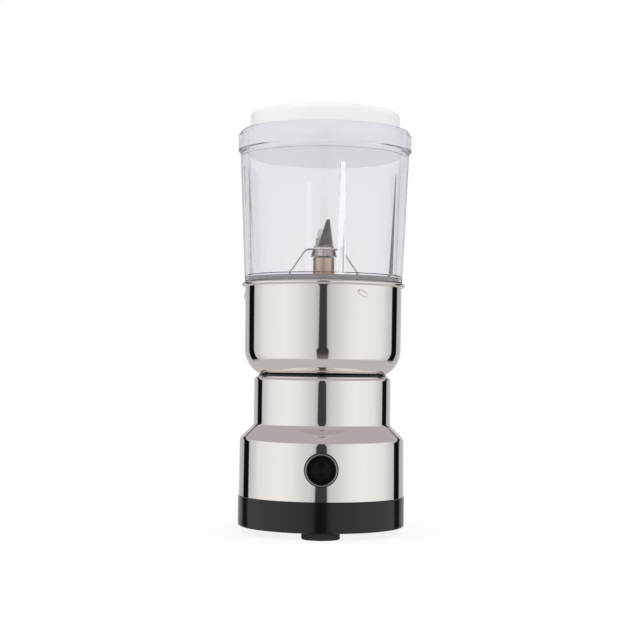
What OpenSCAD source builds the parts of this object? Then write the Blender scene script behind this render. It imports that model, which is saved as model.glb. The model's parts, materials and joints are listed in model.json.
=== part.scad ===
// Small blender with a grinding bowl: steel base, lift-off steel bowl, clear jar and plug-in cap.
// Millimetres. Z points up, the push button faces -Y, the table is Z = 0.

/* [Feet and base ring] */
// Diameter of each rubber foot
foot_d = 23.4; // [16:0.2:25]
// Height of the base above the table
foot_h = 4.2; // [3:0.1:8]
// Distance from the outside of the ring in to the foot centres
foot_inset = 12.75; // [12:0.25:15]
// Outside diameter of the black base ring
base_d = 104.5; // [102:0.5:108]
// Height of the black base ring
ring_h = 18.8; // [18:0.1:24]
// Wall thickness of the base ring
ring_wall = 2.4; // [2:0.1:3]
// Thickness of the bottom cover
cover_t = 2.5; // [2:0.1:4]
// Distance from the inside of the upper wall in to the frame posts
post_inset = 6.2; // [5.6:0.1:7]

/* [Steel base shell] */
// Height of the wide lower wall
shell_low_h = 35.8; // [34:0.1:45]
// Height of the sloping shoulder
shoulder_h = 8.4; // [6:0.2:12]
// Outside diameter of the narrow upper wall
shell_top_d = 86; // [85:0.5:92]
// Height of the narrow upper wall
shell_top_h = 30.7; // [28:0.1:45]
// Thickness of the steel sheet of shell and bowl
sheet_t = 0.8; // [0.6:0.1:1]

/* [Push button] */
// Height of the button's centre above the base ring
button_up = 19.2; // [18:0.2:22]
// Outside diameter of the bezel
bezel_d = 20.8; // [20.4:0.2:24]
// Diameter of the button
button_d = 15; // [14:0.2:15.4]
// Travel of the button
button_travel = 3; // [2:0.1:3.2]

/* [Bowl] */
// How much narrower the bowl wall is than the base, across
bowl_in = 5.7; // [3:0.1:8]
// Height of the bowl from its floor to the top of its rim
bowl_h = 57.4; // [52:0.2:70]
// Radius of the curve between floor and wall
bowl_corner_r = 17; // [13:0.5:17]
// Distance the rolled rim stands out from the wall
rim_out = 2.2; // [1.8:0.05:2.8]
// Height of the rolled rim
rim_h = 2.5; // [2.4:0.1:4]
// Height of the raised floor over the coupling
dome_h = 19.9; // [18:0.1:22]
// Thickness of the black seat that shows under the bowl
seat_lip_t = 1; // [0.8:0.1:4]

/* [Jar and cap] */
// Height of the jar above the bowl rim
jar_h = 96.3; // [80:0.1:130]
// Outside diameter of the jar under its rim
jar_top_d = 107; // [105:0.5:112]
// Distance the thick rim stands out from the jar
jar_rim_out = 1.3; // [0.8:0.1:2]
// Height of the thick rim
jar_rim_h = 13.5; // [12:0.1:18]
// Rounding of the rim's top edge
jar_rim_round = 4.5; // [2:0.5:5]
// Thickness of the jar wall at the top
jar_wall = 4.7; // [4.4:0.1:5.5]
// Depth of the jar's skirt inside the bowl
skirt_drop = 16; // [15:0.5:20]
// Turn that locks the jar in the bowl, degrees
jar_turn = 25; // [15:1:35]
// Height of the cap above the jar
cap_rise = 10.9; // [5:0.1:15]
// Thickness of the cap
cap_wall = 2; // [1.6:0.1:2.4]

/* [Blades] */
// Height of the bearing tower above the raised floor
tower_h = 53.4; // [50:0.2:62]
// Diameter of the tower's top end
tower_d = 13.4; // [12.8:0.2:16]
// Thickness of the blade sheet
blade_t = 1; // [0.8:0.1:1.6]
// Radius swept by the drooping lower blade
lower_reach = 38; // [32:0.5:41]
// Height of the upright front wing of the upper blade
upper_rise = 17; // [14:0.5:20]
// Diameter of the motor and blade shafts
shaft_d = 6; // [5:0.1:6]

/* [Motor] */
// Diameter of the armature in a shell of the usual width
armature_d = 34.8; // [30:0.2:35]
// Width of the stator in a shell of the usual width
stator_w = 52; // [50:0.5:53]
// Depth of the stator in a shell of the usual width
stator_deep = 56; // [54:0.5:57]
// Diameter of the cooling fan
fan_d = 44; // [36:0.5:48]
// Diameter of the two coupling halves
coupling_d = 21; // [19:0.2:22]

/* [Hidden] */
$fn = 96;

// Clearances: pressed parts of one body, running shafts, loose moving parts
press = 0.02;
running = 0.04;
loose = 0.3;
rest_gap = 0.1;

// Levels of the outer stack
z_cover_top = foot_h + cover_t;
z_ring_top = foot_h + ring_h;
z_shoulder = z_ring_top + shell_low_h;
z_upper = z_shoulder + shoulder_h;
z_shell_top = z_upper + shell_top_h;
z_seat = z_shell_top + seat_lip_t;
z_bowl = z_seat + rest_gap;
z_rim = z_bowl + bowl_h;
z_jar_top = z_rim + jar_h;
z_cap_top = z_jar_top + cap_rise;

// Base ring and bottom cover
ring_r = base_d / 2;
ring_in_r = ring_r - ring_wall;
foot_pitch_r = ring_r - foot_inset;
ledge_w = 3.5;
ledge_t = 2;
ledge_r = ring_in_r - ledge_w;
shell_low_r = ring_r - 0.45;
shell_shoulder_r = shell_low_r - 0.2;
shell_top_r = shell_top_d / 2;
spigot_r = shell_shoulder_r - sheet_t - 0.1;
spigot_t = 2.6;
spigot_h = 3.6;
spigot_lap = 2;
foot_neck_r = 3;
screw_r = 1.4;
screw_head_r = 2.8;
screw_head_h = 1.7;
screw_bite = 8;

// Cord gland at the rear of the ring
gland_r = 4.8;
gland_bore_r = 3.4;
gland_lip_r = 5.3;
z_gland = (z_cover_top + ledge_t + z_ring_top - spigot_lap) / 2;
gland_in = ring_in_r - 4.5;
gland_out = ring_r + 1.6;

// Motor frame, seat and the flange they clamp
frame_t = 4;
top_fillet = 3;
frame_r = shell_top_r - top_fillet - 0.1;
z_frame_top = z_shell_top - sheet_t;
z_frame = z_frame_top - frame_t;
post_r = 4;
post_pitch_r = shell_top_r - sheet_t - post_inset;
flange_r = shell_top_r - 6.2;
seat_r = shell_top_r - 2.7;
collar_r = 23.5;
collar_in_r = 18;
collar_h = 8.5;
notch_angle = 28;
seat_screw_r = (collar_r + collar_in_r) / 2;

// Coupling stack, downwards from the raised floor
z_dome = z_bowl + dome_h;
socket_t = 3.5;
z_socket = z_dome - socket_t;
nut_t = 3.5;
z_nut = z_socket - nut_t;
disc_t = 4.6;
dog_h = 4.8;
dog_gap = 0.5;
z_driven = z_nut - 0.9 - disc_t;
z_drive_top = z_driven - dog_h - dog_gap;
z_drive = z_drive_top - disc_t;
coupling_r = coupling_d / 2;
shaft_r = shaft_d / 2;

// Width of the motor follows the room inside the upper wall
usual_room = 42.2;
motor_fit = (shell_top_r - sheet_t) / usual_room;

// Motor stack, upwards from the cover and downwards from the frame
z_fan = z_cover_top + 4.5;
fan_h = 8;
bracket_t = 4;
z_low_bracket = z_fan + fan_h + 1.2;
bearing_r = 8;
bearing_h = 6;
boss_r = 11;
boss_h = 8;
plate_t = 2.4;
z_plate = z_low_bracket + bracket_t;
z_commutator = z_low_bracket + boss_h + 1.2;
commutator_h = 10;
commutator_r = 10;
winding_h = 6.2;
winding_r = 13;
z_winding = z_commutator + commutator_h + 1;
z_core = z_winding + winding_h;
z_up_boss_top = z_frame - 1.5;
z_up_bracket = z_up_boss_top - boss_h;
z_winding_up = z_up_bracket - 2 - winding_h;
core_h = z_winding_up - z_core;
armature_r = motor_fit * armature_d / 2;
air_gap = 0.5;
bolt_pitch_r = motor_fit * 32.5;
bolt_angle = -47;
bolt_r = 2;
bar_w = 11;
coil_in_x = motor_fit * 13;
coil_out_x = motor_fit * (stator_w / 2 - 7);
coil_near = motor_fit * 15.6;
coil_far = motor_fit * (stator_deep / 2 - 6);
slot_near = motor_fit * 9;
coil_end = 5;
brush_angle = bolt_angle + 90;
brush_wide = 5;
brush_tall = 6;
brush_len = 11;
holder_near = 12.5;
holder_len = 11.5;
z_brush = z_commutator + commutator_h / 2;

// Bowl, seal and jar radii
bowl_r = (base_d - bowl_in) / 2;
bowl_low_r = bowl_r - 0.3;
bowl_foot_r = bowl_r - 9.9;
bowl_knee = 30;
z_knee = z_bowl + (bowl_low_r - bowl_foot_r) * tan(bowl_knee);
rim_r = bowl_r + rim_out;
neck_r = bowl_r - 1.8;
neck_h = 1.3;
dome_low_r = 31;
dome_top_r = 24;
stem_r = 6.9;
gasket_h = 3;
gasket_leg = 0.8;
gasket_in_r = neck_r - sheet_t - gasket_leg;
gasket_out_r = neck_r + gasket_leg;
z_gasket = z_rim + rest_gap;
z_gasket_top = z_gasket + gasket_h;
skirt_r = gasket_in_r - loose;
skirt_in_r = skirt_r - 1.9;
groove_r = gasket_out_r + loose;
z_groove = z_gasket_top + rest_gap;
z_skirt = z_rim - skirt_drop;
jar_low_r = bowl_r + 0.4;
jar_top_r = jar_top_d / 2;
jar_rim_r = jar_top_r + jar_rim_out;
jar_in_r = jar_top_r - jar_wall;
jar_in_low_r = skirt_r + 0.5;
z_jar_rim = z_jar_top - jar_rim_h;
z_ledge = z_jar_rim - 2.6;
mouth_r = jar_in_r + 1;
plug_r = mouth_r - loose;
cap_r = plug_r - 1.7;
rib_turn = 13;
rib_top = z_jar_rim - 12;
rib_deep = 3;
rib_top_w = 3;
rib_low_w = 5.4;
lug_turn = 28.7;
lug_slant = -28;
lug_long = 5.2;
lug_wide = 2.6;
lug_head_long = lug_long + 2;
lug_head_wide = lug_wide + 0.6;
lug_tip_r = skirt_in_r + 0.5;
z_lug = z_rim - 8;
lug_high = (lug_long - lug_wide) * sin(-lug_slant) + lug_wide;
lug_span = (lug_long - lug_wide) * cos(lug_slant) + lug_wide;

// Bearing tower and blade stack
z_tower = z_dome + sheet_t;
z_tower_top = z_tower + tower_h;
z_stem = z_nut - 0.2;
tower_r = tower_d / 2;
tower_foot_r = 13;
tower_foot_h = 2.6;
tower_waist_r = 9;
tower_waist_h = 5;
tower_neck_h = 12;
tower_taper_h = 30;
tower_nut_r = 11.5;
bush_r = 4.9;
bush_h = 10;
seal_h = 3;
z_collar = z_tower_top + 0.6;
blade_collar_h = 4.2;
z_lower_blade = z_collar + blade_collar_h;
spacer_h = 0.5;
z_spacer = z_lower_blade + blade_t;
z_upper_blade = z_spacer + spacer_h;
z_blade_nut = z_upper_blade + blade_t;
blade_nut_h = 5;
lower_bend = 11.3;
lower_bend_r = 5;
lower_droop = 56;
upper_bend = 7.4;
upper_bend_r = 2;
upper_lift = 78;
rear_lift = 50;
rear_rise = upper_rise * sin(rear_lift) / sin(upper_lift);
upper_hub_r = 6.4;
upper_left = 4.4;
upper_right = 5.9;
upper_tip_left = 1.3;
upper_tip_right = 3.9;

// Push switch: distances from the axis towards the front
z_button = z_ring_top + button_up;
front_r = shell_low_r - (shell_low_r - shell_shoulder_r) * button_up / shell_low_h;
bezel_front = front_r + 2.5;
bezel_r = bezel_d / 2;
barrel_r = 9.2;
button_r = button_d / 2;
opening_r = button_r + loose;
lip_back = bezel_front - 3.8;
barrel_in_r = opening_r + 0.5;
flange_front = lip_back - loose;
flange_back = flange_front - 2.6;
barrel_back = bezel_front - 16.3;
button_front = bezel_front - 0.9;
stem_back = flange_back - 3.9;
bridge_t = 0.8;
contact_front = stem_back - bridge_t - button_travel - 0.2;
switch_nut_r = 12.4;
switch_nut_t = 4;
nut_front = sqrt(pow(shell_shoulder_r - sheet_t, 2) - pow(switch_nut_r, 2)) - 0.1;
spring_r = 6.4;
spring_wire_r = 0.4;
spring_turns = 4;
spring_len = flange_back - barrel_back - 1 - 2 * spring_wire_r - 2 * rest_gap;

// Colours
steel = [0.86, 0.85, 0.84];
dark_steel = [0.36, 0.35, 0.35];
black = [0.16, 0.16, 0.165];
rubber = [0.1, 0.1, 0.1];
clear = [0.86, 0.84, 0.9, 0.4];
white = [0.93, 0.92, 0.93];
grey = [0.45, 0.43, 0.45];
bronze = [0.67, 0.58, 0.53];
copper = [0.72, 0.4, 0.2];
iron = [0.5, 0.5, 0.52];
phenolic = [0.55, 0.38, 0.22];
carbon = [0.2, 0.2, 0.2];

// Path helpers: a path runs with the metal on its left
function unit(v) = v / norm(v);
function left_of(v) = [-v[1], v[0]];

// Arc of radius r that rounds the corner b of the path a, b, c
function corner_arc(a, b, c, r) =
  let (
    u = unit(a - b),
    w = unit(c - b),
    half = acos(u * w) / 2,
    centre = b + unit(u + w) * r / sin(half),
    p = b + u * r / tan(half) - centre,
    q = b + w * r / tan(half) - centre,
    start = atan2(p[1], p[0]),
    swing = atan2(p[0] * q[1] - p[1] * q[0], p * q)
  )
  [for (i = [0 : 8]) centre + r * [cos(start + swing * i / 8), sin(start + swing * i / 8)]];

// Path with each corner rounded by its own radius
function rounded_path(points, radii) = [
  for (i = [0 : len(points) - 1])
    each (radii[i] == 0 ? [points[i]] : corner_arc(points[i - 1], points[i], points[i + 1], radii[i]))
];

// Point i of the path moved sideways by t
function side_step(path, i, t) =
  let (
    last = len(path) - 1,
    before = left_of(unit(path[max(i, 1)] - path[max(i, 1) - 1])),
    after = left_of(unit(path[min(i, last - 1) + 1] - path[min(i, last - 1)])),
    n = unit(before + after)
  )
  path[i] + n * t / (n * before);

// Closed outline of a sheet of thickness t laid along the path
function sheet_outline(path, t) = concat(
  path,
  [for (i = [len(path) - 1 : -1 : 0]) side_step(path, i, t)]
);

// Round tube of radius r swept along points in space
module swept_tube(points, r, sides = 6) {
  n = len(points);
  rings = [
    for (i = [0 : n - 1])
      let (
        along = unit(points[min(i + 1, n - 1)] - points[max(i - 1, 0)]),
        s = unit(cross(along, [0, 0, 1])),
        b = cross(s, along)
      )
      for (k = [0 : sides - 1])
        points[i] + r * (s * cos(360 * k / sides) + b * sin(360 * k / sides))
  ];
  sides_faces = [
    for (i = [0 : n - 2])
      for (k = [0 : sides - 1])
        let (m = (k + 1) % sides)
        each [
          [i * sides + k, i * sides + m, (i + 1) * sides + m],
          [i * sides + k, (i + 1) * sides + m, (i + 1) * sides + k]
        ]
  ];
  caps = [
    [for (k = [sides - 1 : -1 : 0]) k],
    [for (k = [0 : sides - 1]) (n - 1) * sides + k]
  ];
  polyhedron(rings, concat(caps, sides_faces));
}

module tube(r_out, r_in, h) {
  difference() {
    cylinder(r = r_out, h = h);
    translate([0, 0, -1])
      cylinder(r = r_in, h = h + 2);
  }
}

// Sector of a tube centred on +X
module sector(r_out, r_in, h, angle) {
  rotate([0, 0, -angle / 2])
    rotate_extrude(angle = angle)
      translate([r_in, 0])
        square([r_out - r_in, h]);
}

// Oblong with round ends, along X
module oblong(length, width) {
  square([length - width, width], center = true);
  for (s = [-1, 1])
    translate([s * (length - width) / 2, 0])
      circle(d = width);
}

module rounded_rect(w, h, r) {
  square([w - 2 * r, h], center = true);
  square([w, h - 2 * r], center = true);
  for (x = [-1, 1], y = [-1, 1])
    translate([x * (w / 2 - r), y * (h / 2 - r)])
      circle(r);
}

// Places children at an angle from the front, with +X of the child pointing outwards
module facing(turn) {
  rotate([0, 0, turn - 90])
    children();
}

// Places children on the button's axis, with +Z of the child pointing to the front
module on_button_axis() {
  translate([0, 0, z_button])
    rotate([90, 0, 0])
      children();
}

// Feet and base ring
module foot(turn) {
  head = z_cover_top + 0.2;
  facing(turn)
    translate([foot_pitch_r, 0, 0])
      rotate_extrude()
        polygon([
          [0, 0], [foot_d / 2 - 0.3, 0], [foot_d / 2, 0.3], [foot_d / 2, foot_h],
          [foot_neck_r, foot_h], [foot_neck_r, head], [foot_neck_r + 1.2, head],
          [foot_neck_r - 0.6, head + 2.4], [0, head + 2.4]
        ]);
}

module foot_front() {
  color(rubber) foot(0);
}

module foot_left() {
  color(rubber) foot(240);
}

module foot_right() {
  color(rubber) foot(120);
}

module base_ring() {
  color(black)
    difference() {
      union() {
        rotate_extrude()
          polygon([
            [ring_in_r, foot_h], [ring_r - 0.8, foot_h], [ring_r - 0.2, foot_h + 0.3],
            [ring_r, foot_h + 1], [ring_r, z_ring_top - 0.4], [ring_r - 0.4, z_ring_top],
            [ring_in_r, z_ring_top]
          ]);
        translate([0, 0, z_cover_top])
          tube(ring_in_r + 0.5, ledge_r, ledge_t);
        translate([0, 0, z_ring_top - spigot_lap])
          tube(spigot_r, spigot_r - spigot_t, spigot_lap + spigot_h);
      }
      translate([0, ring_in_r - 3, z_gland])
        rotate([-90, 0, 0])
          cylinder(r = gland_r + press, h = 10);
    }
}

module bottom_cover() {
  color(black)
    difference() {
      translate([0, 0, foot_h])
        cylinder(r = ring_in_r - loose, h = cover_t);
      for (turn = [0, 120, 240]) {
        facing(turn)
          translate([foot_pitch_r, 0, foot_h - 1])
            cylinder(r = foot_neck_r + 0.1, h = cover_t + 2);
        facing(turn + 180)
          translate([post_pitch_r, 0, foot_h - 1])
            cylinder(r = screw_r + 0.2, h = cover_t + 2);
      }
      for (turn = [0 : 30 : 330])
        facing(turn)
          translate([9, -1.5, foot_h - 1])
            cube([15, 3, cover_t + 2]);
    }
}

module cover_screws() {
  color(iron)
    for (turn = [60, 180, 300])
      facing(turn)
        translate([post_pitch_r, 0, foot_h - screw_head_h]) {
          cylinder(r = screw_head_r, h = screw_head_h);
          cylinder(r = screw_r, h = screw_head_h + cover_t + screw_bite);
        }
}

// Steel shell
module base_shell() {
  path = rounded_path(
    [
      [shell_low_r, z_ring_top], [shell_shoulder_r, z_shoulder], [shell_top_r, z_upper],
      [shell_top_r, z_shell_top], [flange_r, z_shell_top]
    ],
    [0, 4.5, 3, top_fillet, 0]
  );
  color(steel)
    difference() {
      rotate_extrude()
        polygon(sheet_outline(path, sheet_t));
      on_button_axis()
        translate([0, 0, front_r - 12])
          cylinder(r = barrel_r + 0.15, h = 20);
    }
}

// Motor frame and bowl seat
module motor_frame() {
  color(black)
    difference() {
      union() {
        translate([0, 0, z_frame])
          cylinder(r = frame_r, h = frame_t);
        for (turn = [60, 180, 300])
          facing(turn)
            translate([post_pitch_r, 0, z_cover_top])
              cylinder(r = post_r, h = z_frame - z_cover_top + 1);
        for (side = [0, 180])
          rotate([0, 0, bolt_angle + side])
            translate([bolt_pitch_r, 0, z_up_bracket + bracket_t])
              cylinder(r = 5, h = z_frame - z_up_bracket - bracket_t + 1);
      }
      translate([0, 0, z_frame - 1])
        cylinder(r = coupling_r + 1.5, h = frame_t + 2);
      for (turn = [60, 180, 300]) {
        facing(turn)
          translate([post_pitch_r, 0, z_cover_top - 1])
            cylinder(r = screw_r + press, h = 12);
        facing(turn)
          translate([seat_screw_r, 0, z_frame - 1])
            cylinder(r = screw_r + 0.3, h = frame_t + 2);
      }
      for (side = [0, 180])
        rotate([0, 0, bolt_angle + side])
          translate([bolt_pitch_r, 0, z_up_bracket])
            cylinder(r = bolt_r + press, h = z_frame - z_up_bracket + 2.6);
    }
}

module bowl_seat() {
  color(black)
    difference() {
      union() {
        translate([0, 0, z_shell_top])
          cylinder(r = seat_r, h = seat_lip_t);
        translate([0, 0, z_frame_top])
          cylinder(r = flange_r - loose, h = sheet_t + 0.5);
        translate([0, 0, z_shell_top])
          cylinder(r = collar_r, h = seat_lip_t + collar_h);
      }
      translate([0, 0, z_frame_top - 1])
        cylinder(r = coupling_r + 2.5, h = 40);
      translate([0, 0, z_seat])
        cylinder(r = collar_in_r, h = 40);
      for (turn = [0, 120, 240])
        facing(turn)
          translate([0, 0, z_seat])
            sector(collar_r + 1, collar_in_r - 1, collar_h + 1, notch_angle);
      for (turn = [60, 180, 300])
        facing(turn)
          translate([seat_screw_r, 0, z_frame_top - 1])
            cylinder(r = screw_r + press, h = 10);
    }
}

module seat_screws() {
  color(iron)
    for (turn = [60, 180, 300])
      facing(turn)
        translate([seat_screw_r, 0, z_frame - screw_head_h]) {
          cylinder(r = screw_head_r, h = screw_head_h);
          cylinder(r = screw_r, h = screw_head_h + frame_t + screw_bite);
        }
}

// Push switch
module button_bezel() {
  color(black)
    difference() {
      on_button_axis()
        difference() {
          union() {
            translate([0, 0, front_r - 3])
              cylinder(r = bezel_r, h = bezel_front - 0.8 - front_r + 3);
            translate([0, 0, bezel_front - 0.8])
              cylinder(r1 = bezel_r, r2 = bezel_r - 0.8, h = 0.8);
          }
          translate([0, 0, front_r - 4])
            cylinder(r = opening_r, h = 20);
        }
      translate([0, 0, z_button - 20])
        cylinder(r = shell_low_r + 0.05, h = 40);
    }
  color(black)
    on_button_axis()
      difference() {
        translate([0, 0, barrel_back])
          cylinder(r = barrel_r, h = bezel_front - 1.4 - barrel_back);
        translate([0, 0, barrel_back - 1])
          cylinder(r = barrel_in_r, h = lip_back - barrel_back + 1);
        translate([0, 0, lip_back - 1])
          cylinder(r = opening_r, h = 20);
      }
}

module switch_nut() {
  color(black)
    on_button_axis()
      translate([0, 0, nut_front - switch_nut_t])
        difference() {
          cylinder(r = switch_nut_r, h = switch_nut_t, $fn = 6);
          translate([0, 0, -1])
            cylinder(r = barrel_r + press, h = switch_nut_t + 2);
        }
}

module terminal_plate() {
  color(phenolic)
    on_button_axis()
      difference() {
        union() {
          translate([0, 0, barrel_back - 1.6])
            cylinder(r = barrel_r, h = 1.6);
          translate([0, 0, barrel_back - 0.5])
            cylinder(r = barrel_in_r - 0.1, h = 1.5);
        }
        for (x = [-4, 4])
          translate([x, 0, barrel_back])
            cube([3.04, 0.84, 8], center = true);
      }
}

module switch_terminals() {
  color(bronze)
    on_button_axis()
      for (x = [-4, 4])
        translate([x, 0, 0]) {
          translate([-1.5, -0.4, barrel_back - 7])
            cube([3, 0.8, contact_front - barrel_back + 6.5]);
          translate([0, 0, barrel_back + 1])
            cylinder(r = 1.5, h = contact_front - barrel_back - 1);
        }
}

spring_path = [
  for (i = [0 : spring_turns * 8])
    [
      spring_r * cos(45 * i), spring_r * sin(45 * i),
      barrel_back + 1 + rest_gap + spring_wire_r + spring_len * i / (spring_turns * 8)
    ]
];

// Least distance between turns of the spring, wire surface to wire surface
spring_gap = min([
  for (i = [0 : len(spring_path) - 1])
    for (j = [i + 4 : 1 : len(spring_path) - 1])
      norm(spring_path[i] - spring_path[j]) - 2 * spring_wire_r
]);
echo(spring_gap = spring_gap);

module button_spring() {
  color(steel)
    on_button_axis()
      swept_tube(spring_path, spring_wire_r);
}

module push_button() {
  color(black)
    on_button_axis()
      rotate_extrude()
        polygon([
          [0, stem_back], [2.2, stem_back], [2.2, flange_back], [button_r + 0.2, flange_back],
          [button_r + 0.2, flange_front], [button_r, flange_front],
          [button_r, button_front - 0.4], [button_r - 0.4, button_front],
          [button_r - 1.6, button_front], [button_r - 2, button_front - 0.5],
          [button_r - 3.4, button_front - 0.9], [button_r - 3.7, button_front - 1.3],
          [0, button_front - 1.8]
        ]);
}

module contact_bridge() {
  color(bronze)
    on_button_axis()
      translate([-5.3, -1.5, stem_back - bridge_t])
        cube([10.6, 3, bridge_t]);
}

// Cord gland and leads
module cord_gland() {
  color(rubber)
    translate([0, 0, z_gland])
      rotate([-90, 0, 0])
        rotate_extrude()
          polygon([
            [gland_bore_r, gland_in], [gland_r, gland_in], [gland_lip_r, ring_in_r - 2.2],
            [gland_lip_r, ring_in_r - 0.6], [gland_r, ring_in_r - 0.6], [gland_r, ring_r + 0.1],
            [gland_lip_r + 1, ring_r + 0.1], [gland_lip_r + 0.4, gland_out],
            [gland_bore_r, gland_out]
          ]);
}

// Leads: gland to switch, gland to brush, switch to field coil
lead_r = 1;
lead_ring = ring_in_r - 2.6;
lead_low = z_cover_top + 6.3;
terminal_tail = barrel_back - 6.4;
brush_end = holder_near + holder_len + 0.5;
coil_face = coil_far + lead_r + 0.2;
function round_ring(turn, inset, z) =
  [(lead_ring - inset) * sin(turn), -(lead_ring - inset) * cos(turn), z];
function from_brush(reach, turn, z) =
  [(brush_end + reach) * cos(brush_angle + turn), (brush_end + reach) * sin(brush_angle + turn), z];
live_lead = [
  [-2, gland_in - 3.2, z_gland - 0.8], round_ring(-166, 2, lead_low + 0.2),
  for (turn = [-146, -124, -101, -80, -62]) round_ring(turn, 0, lead_low),
  round_ring(-48, 1, lead_low + 3), round_ring(-38, 6, lead_low + 12),
  [-20, -terminal_tail - 3.5, z_button - 9], [-13, -terminal_tail - 0.6, z_button - 2.4],
  [-6, -terminal_tail, z_button]
];
neutral_lead = [
  [2, gland_in - 3.2, z_gland - 0.8], round_ring(166, 2, lead_low + 0.4),
  round_ring(150, 6, lead_low + 2), from_brush(12, 6, z_brush - 12), from_brush(6, 0, z_brush - 4),
  from_brush(0, 0, z_brush)
];
field_lead = [
  [6, -terminal_tail, z_button], [13, -terminal_tail + 0.8, z_button - 1.4],
  [coil_out_x - 1.5, -(terminal_tail + coil_face) / 2, z_button - 1.4],
  [coil_out_x - 1.5, -coil_face - 0.2, z_button + 1.1], [coil_out_x - 4, -coil_face, z_button + 2.1]
];

module lead_wires() {
  color(grey)
    for (lead = [live_lead, neutral_lead, field_lead])
      swept_tube(lead, lead_r, 8);
}

// Motor, fixed parts
module motor_bar() {
  rotate([0, 0, bolt_angle]) {
    square([2 * bolt_pitch_r, bar_w], center = true);
    for (s = [-1, 1])
      translate([s * bolt_pitch_r, 0])
        circle(d = bar_w);
  }
}

module bolt_holes() {
  rotate([0, 0, bolt_angle])
    for (s = [-1, 1])
      translate([s * bolt_pitch_r, 0])
        circle(bolt_r + 0.1);
}

module stator_core() {
  color(iron)
    translate([0, 0, z_core])
      linear_extrude(core_h)
        difference() {
          rounded_rect(motor_fit * stator_w, motor_fit * stator_deep, 5);
          circle(armature_r + air_gap);
          bolt_holes();
          for (x = [-1, 1], y = [-1, 1])
            translate([x * (coil_in_x + coil_out_x) / 2, y * (coil_far + slot_near) / 2])
              square([coil_out_x - coil_in_x + 0.6, coil_far - slot_near + 0.6], center = true);
        }
}

module field_coil(side) {
  mid = z_core + core_h / 2;
  color(copper)
    translate([0, side * (coil_near + coil_far) / 2, mid])
      rotate([90, 0, 0])
        linear_extrude(coil_far - coil_near, center = true)
          difference() {
            rounded_rect(2 * coil_out_x, core_h + 2 * coil_end + 0.6, 4);
            square([2 * coil_in_x, core_h + 0.6], center = true);
          }
}

module field_coil_front() {
  field_coil(-1);
}

module field_coil_rear() {
  field_coil(1);
}

module lower_bracket() {
  color(steel)
    translate([0, 0, z_low_bracket])
      difference() {
        union() {
          linear_extrude(bracket_t)
            difference() {
              motor_bar();
              bolt_holes();
            }
          cylinder(r = boss_r, h = boss_h);
        }
        translate([0, 0, 1.2])
          cylinder(r = bearing_r + press, h = boss_h);
        translate([0, 0, -1])
          cylinder(r = shaft_r + 1, h = 4);
      }
}

module upper_bracket() {
  color(steel)
    translate([0, 0, z_up_bracket])
      difference() {
        union() {
          linear_extrude(bracket_t)
            difference() {
              motor_bar();
              bolt_holes();
            }
          cylinder(r = boss_r, h = boss_h);
        }
        translate([0, 0, 1.2])
          cylinder(r = bearing_r + press, h = boss_h);
        translate([0, 0, -1])
          cylinder(r = shaft_r + 1, h = 4);
      }
}

module lower_bearing() {
  color(bronze)
    translate([0, 0, z_low_bracket + 1.2])
      tube(bearing_r, shaft_r + running, bearing_h);
}

module upper_bearing() {
  color(bronze)
    translate([0, 0, z_up_bracket + 1.2])
      tube(bearing_r, shaft_r + running, bearing_h);
}

module motor_bolts() {
  color(iron)
    for (side = [0, 180])
      rotate([0, 0, bolt_angle + side])
        translate([bolt_pitch_r, 0, z_low_bracket - 3]) {
          cylinder(r = 3.6, h = 3, $fn = 6);
          cylinder(r = bolt_r, h = z_frame + 2 - z_low_bracket + 3);
        }
}

module brush_plate() {
  color(phenolic)
    translate([0, 0, z_plate])
      linear_extrude(plate_t)
        difference() {
          union() {
            motor_bar();
            circle(holder_near + holder_len + 0.5);
          }
          bolt_holes();
          circle(boss_r + 0.2);
        }
}

module brush_holder(turn) {
  z_low = z_plate + plate_t;
  tall = z_brush + brush_tall / 2 + 1.6 - z_low;
  color(phenolic)
    rotate([0, 0, turn])
      difference() {
        translate([holder_near, -brush_wide / 2 - 1.6, z_low])
          cube([holder_len, brush_wide + 3.2, tall]);
        translate([holder_near - 1, -brush_wide / 2 - 0.05, z_brush - brush_tall / 2 - 0.05])
          cube([holder_len - 1, brush_wide + 0.1, brush_tall + 0.1]);
      }
}

module brush_holder_right() {
  brush_holder(brush_angle);
}

module brush_holder_left() {
  brush_holder(brush_angle + 180);
}

module brush(turn) {
  color(carbon)
    rotate([0, 0, turn])
      difference() {
        translate([commutator_r - 1, -brush_wide / 2, z_brush - brush_tall / 2])
          cube([brush_len + 1, brush_wide, brush_tall]);
        translate([0, 0, z_brush - brush_tall])
          cylinder(r = commutator_r + running, h = 2 * brush_tall);
      }
}

module brush_right() {
  brush(brush_angle);
}

module brush_left() {
  brush(brush_angle + 180);
}

// Rotor
module motor_shaft() {
  color(steel)
    translate([0, 0, z_fan])
      cylinder(r = shaft_r, h = z_drive_top - z_fan);
}

module armature_core() {
  color(iron)
    translate([0, 0, z_core])
      linear_extrude(core_h)
        difference() {
          circle(armature_r);
          circle(shaft_r + press);
          for (turn = [0 : 30 : 330])
            rotate([0, 0, turn])
              translate([(armature_r + winding_r - 1) / 2 + 1, 0])
                square([armature_r - winding_r + 3, 2.4], center = true);
        }
}

module armature_windings() {
  color(copper)
    for (z = [z_winding, z_winding_up])
      translate([0, 0, z])
        rotate_extrude()
          polygon([
            [shaft_r + press, 0], [winding_r - 1.6, 0], [winding_r, 1.6],
            [winding_r, winding_h - 1.6], [winding_r - 1.6, winding_h],
            [shaft_r + press, winding_h]
          ]);
}

module commutator() {
  color(copper)
    translate([0, 0, z_commutator])
      linear_extrude(commutator_h)
        difference() {
          circle(commutator_r);
          circle(shaft_r + press);
          for (turn = [0 : 30 : 330])
            rotate([0, 0, turn])
              translate([commutator_r, 0])
                square([3, 0.5], center = true);
        }
}

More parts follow.
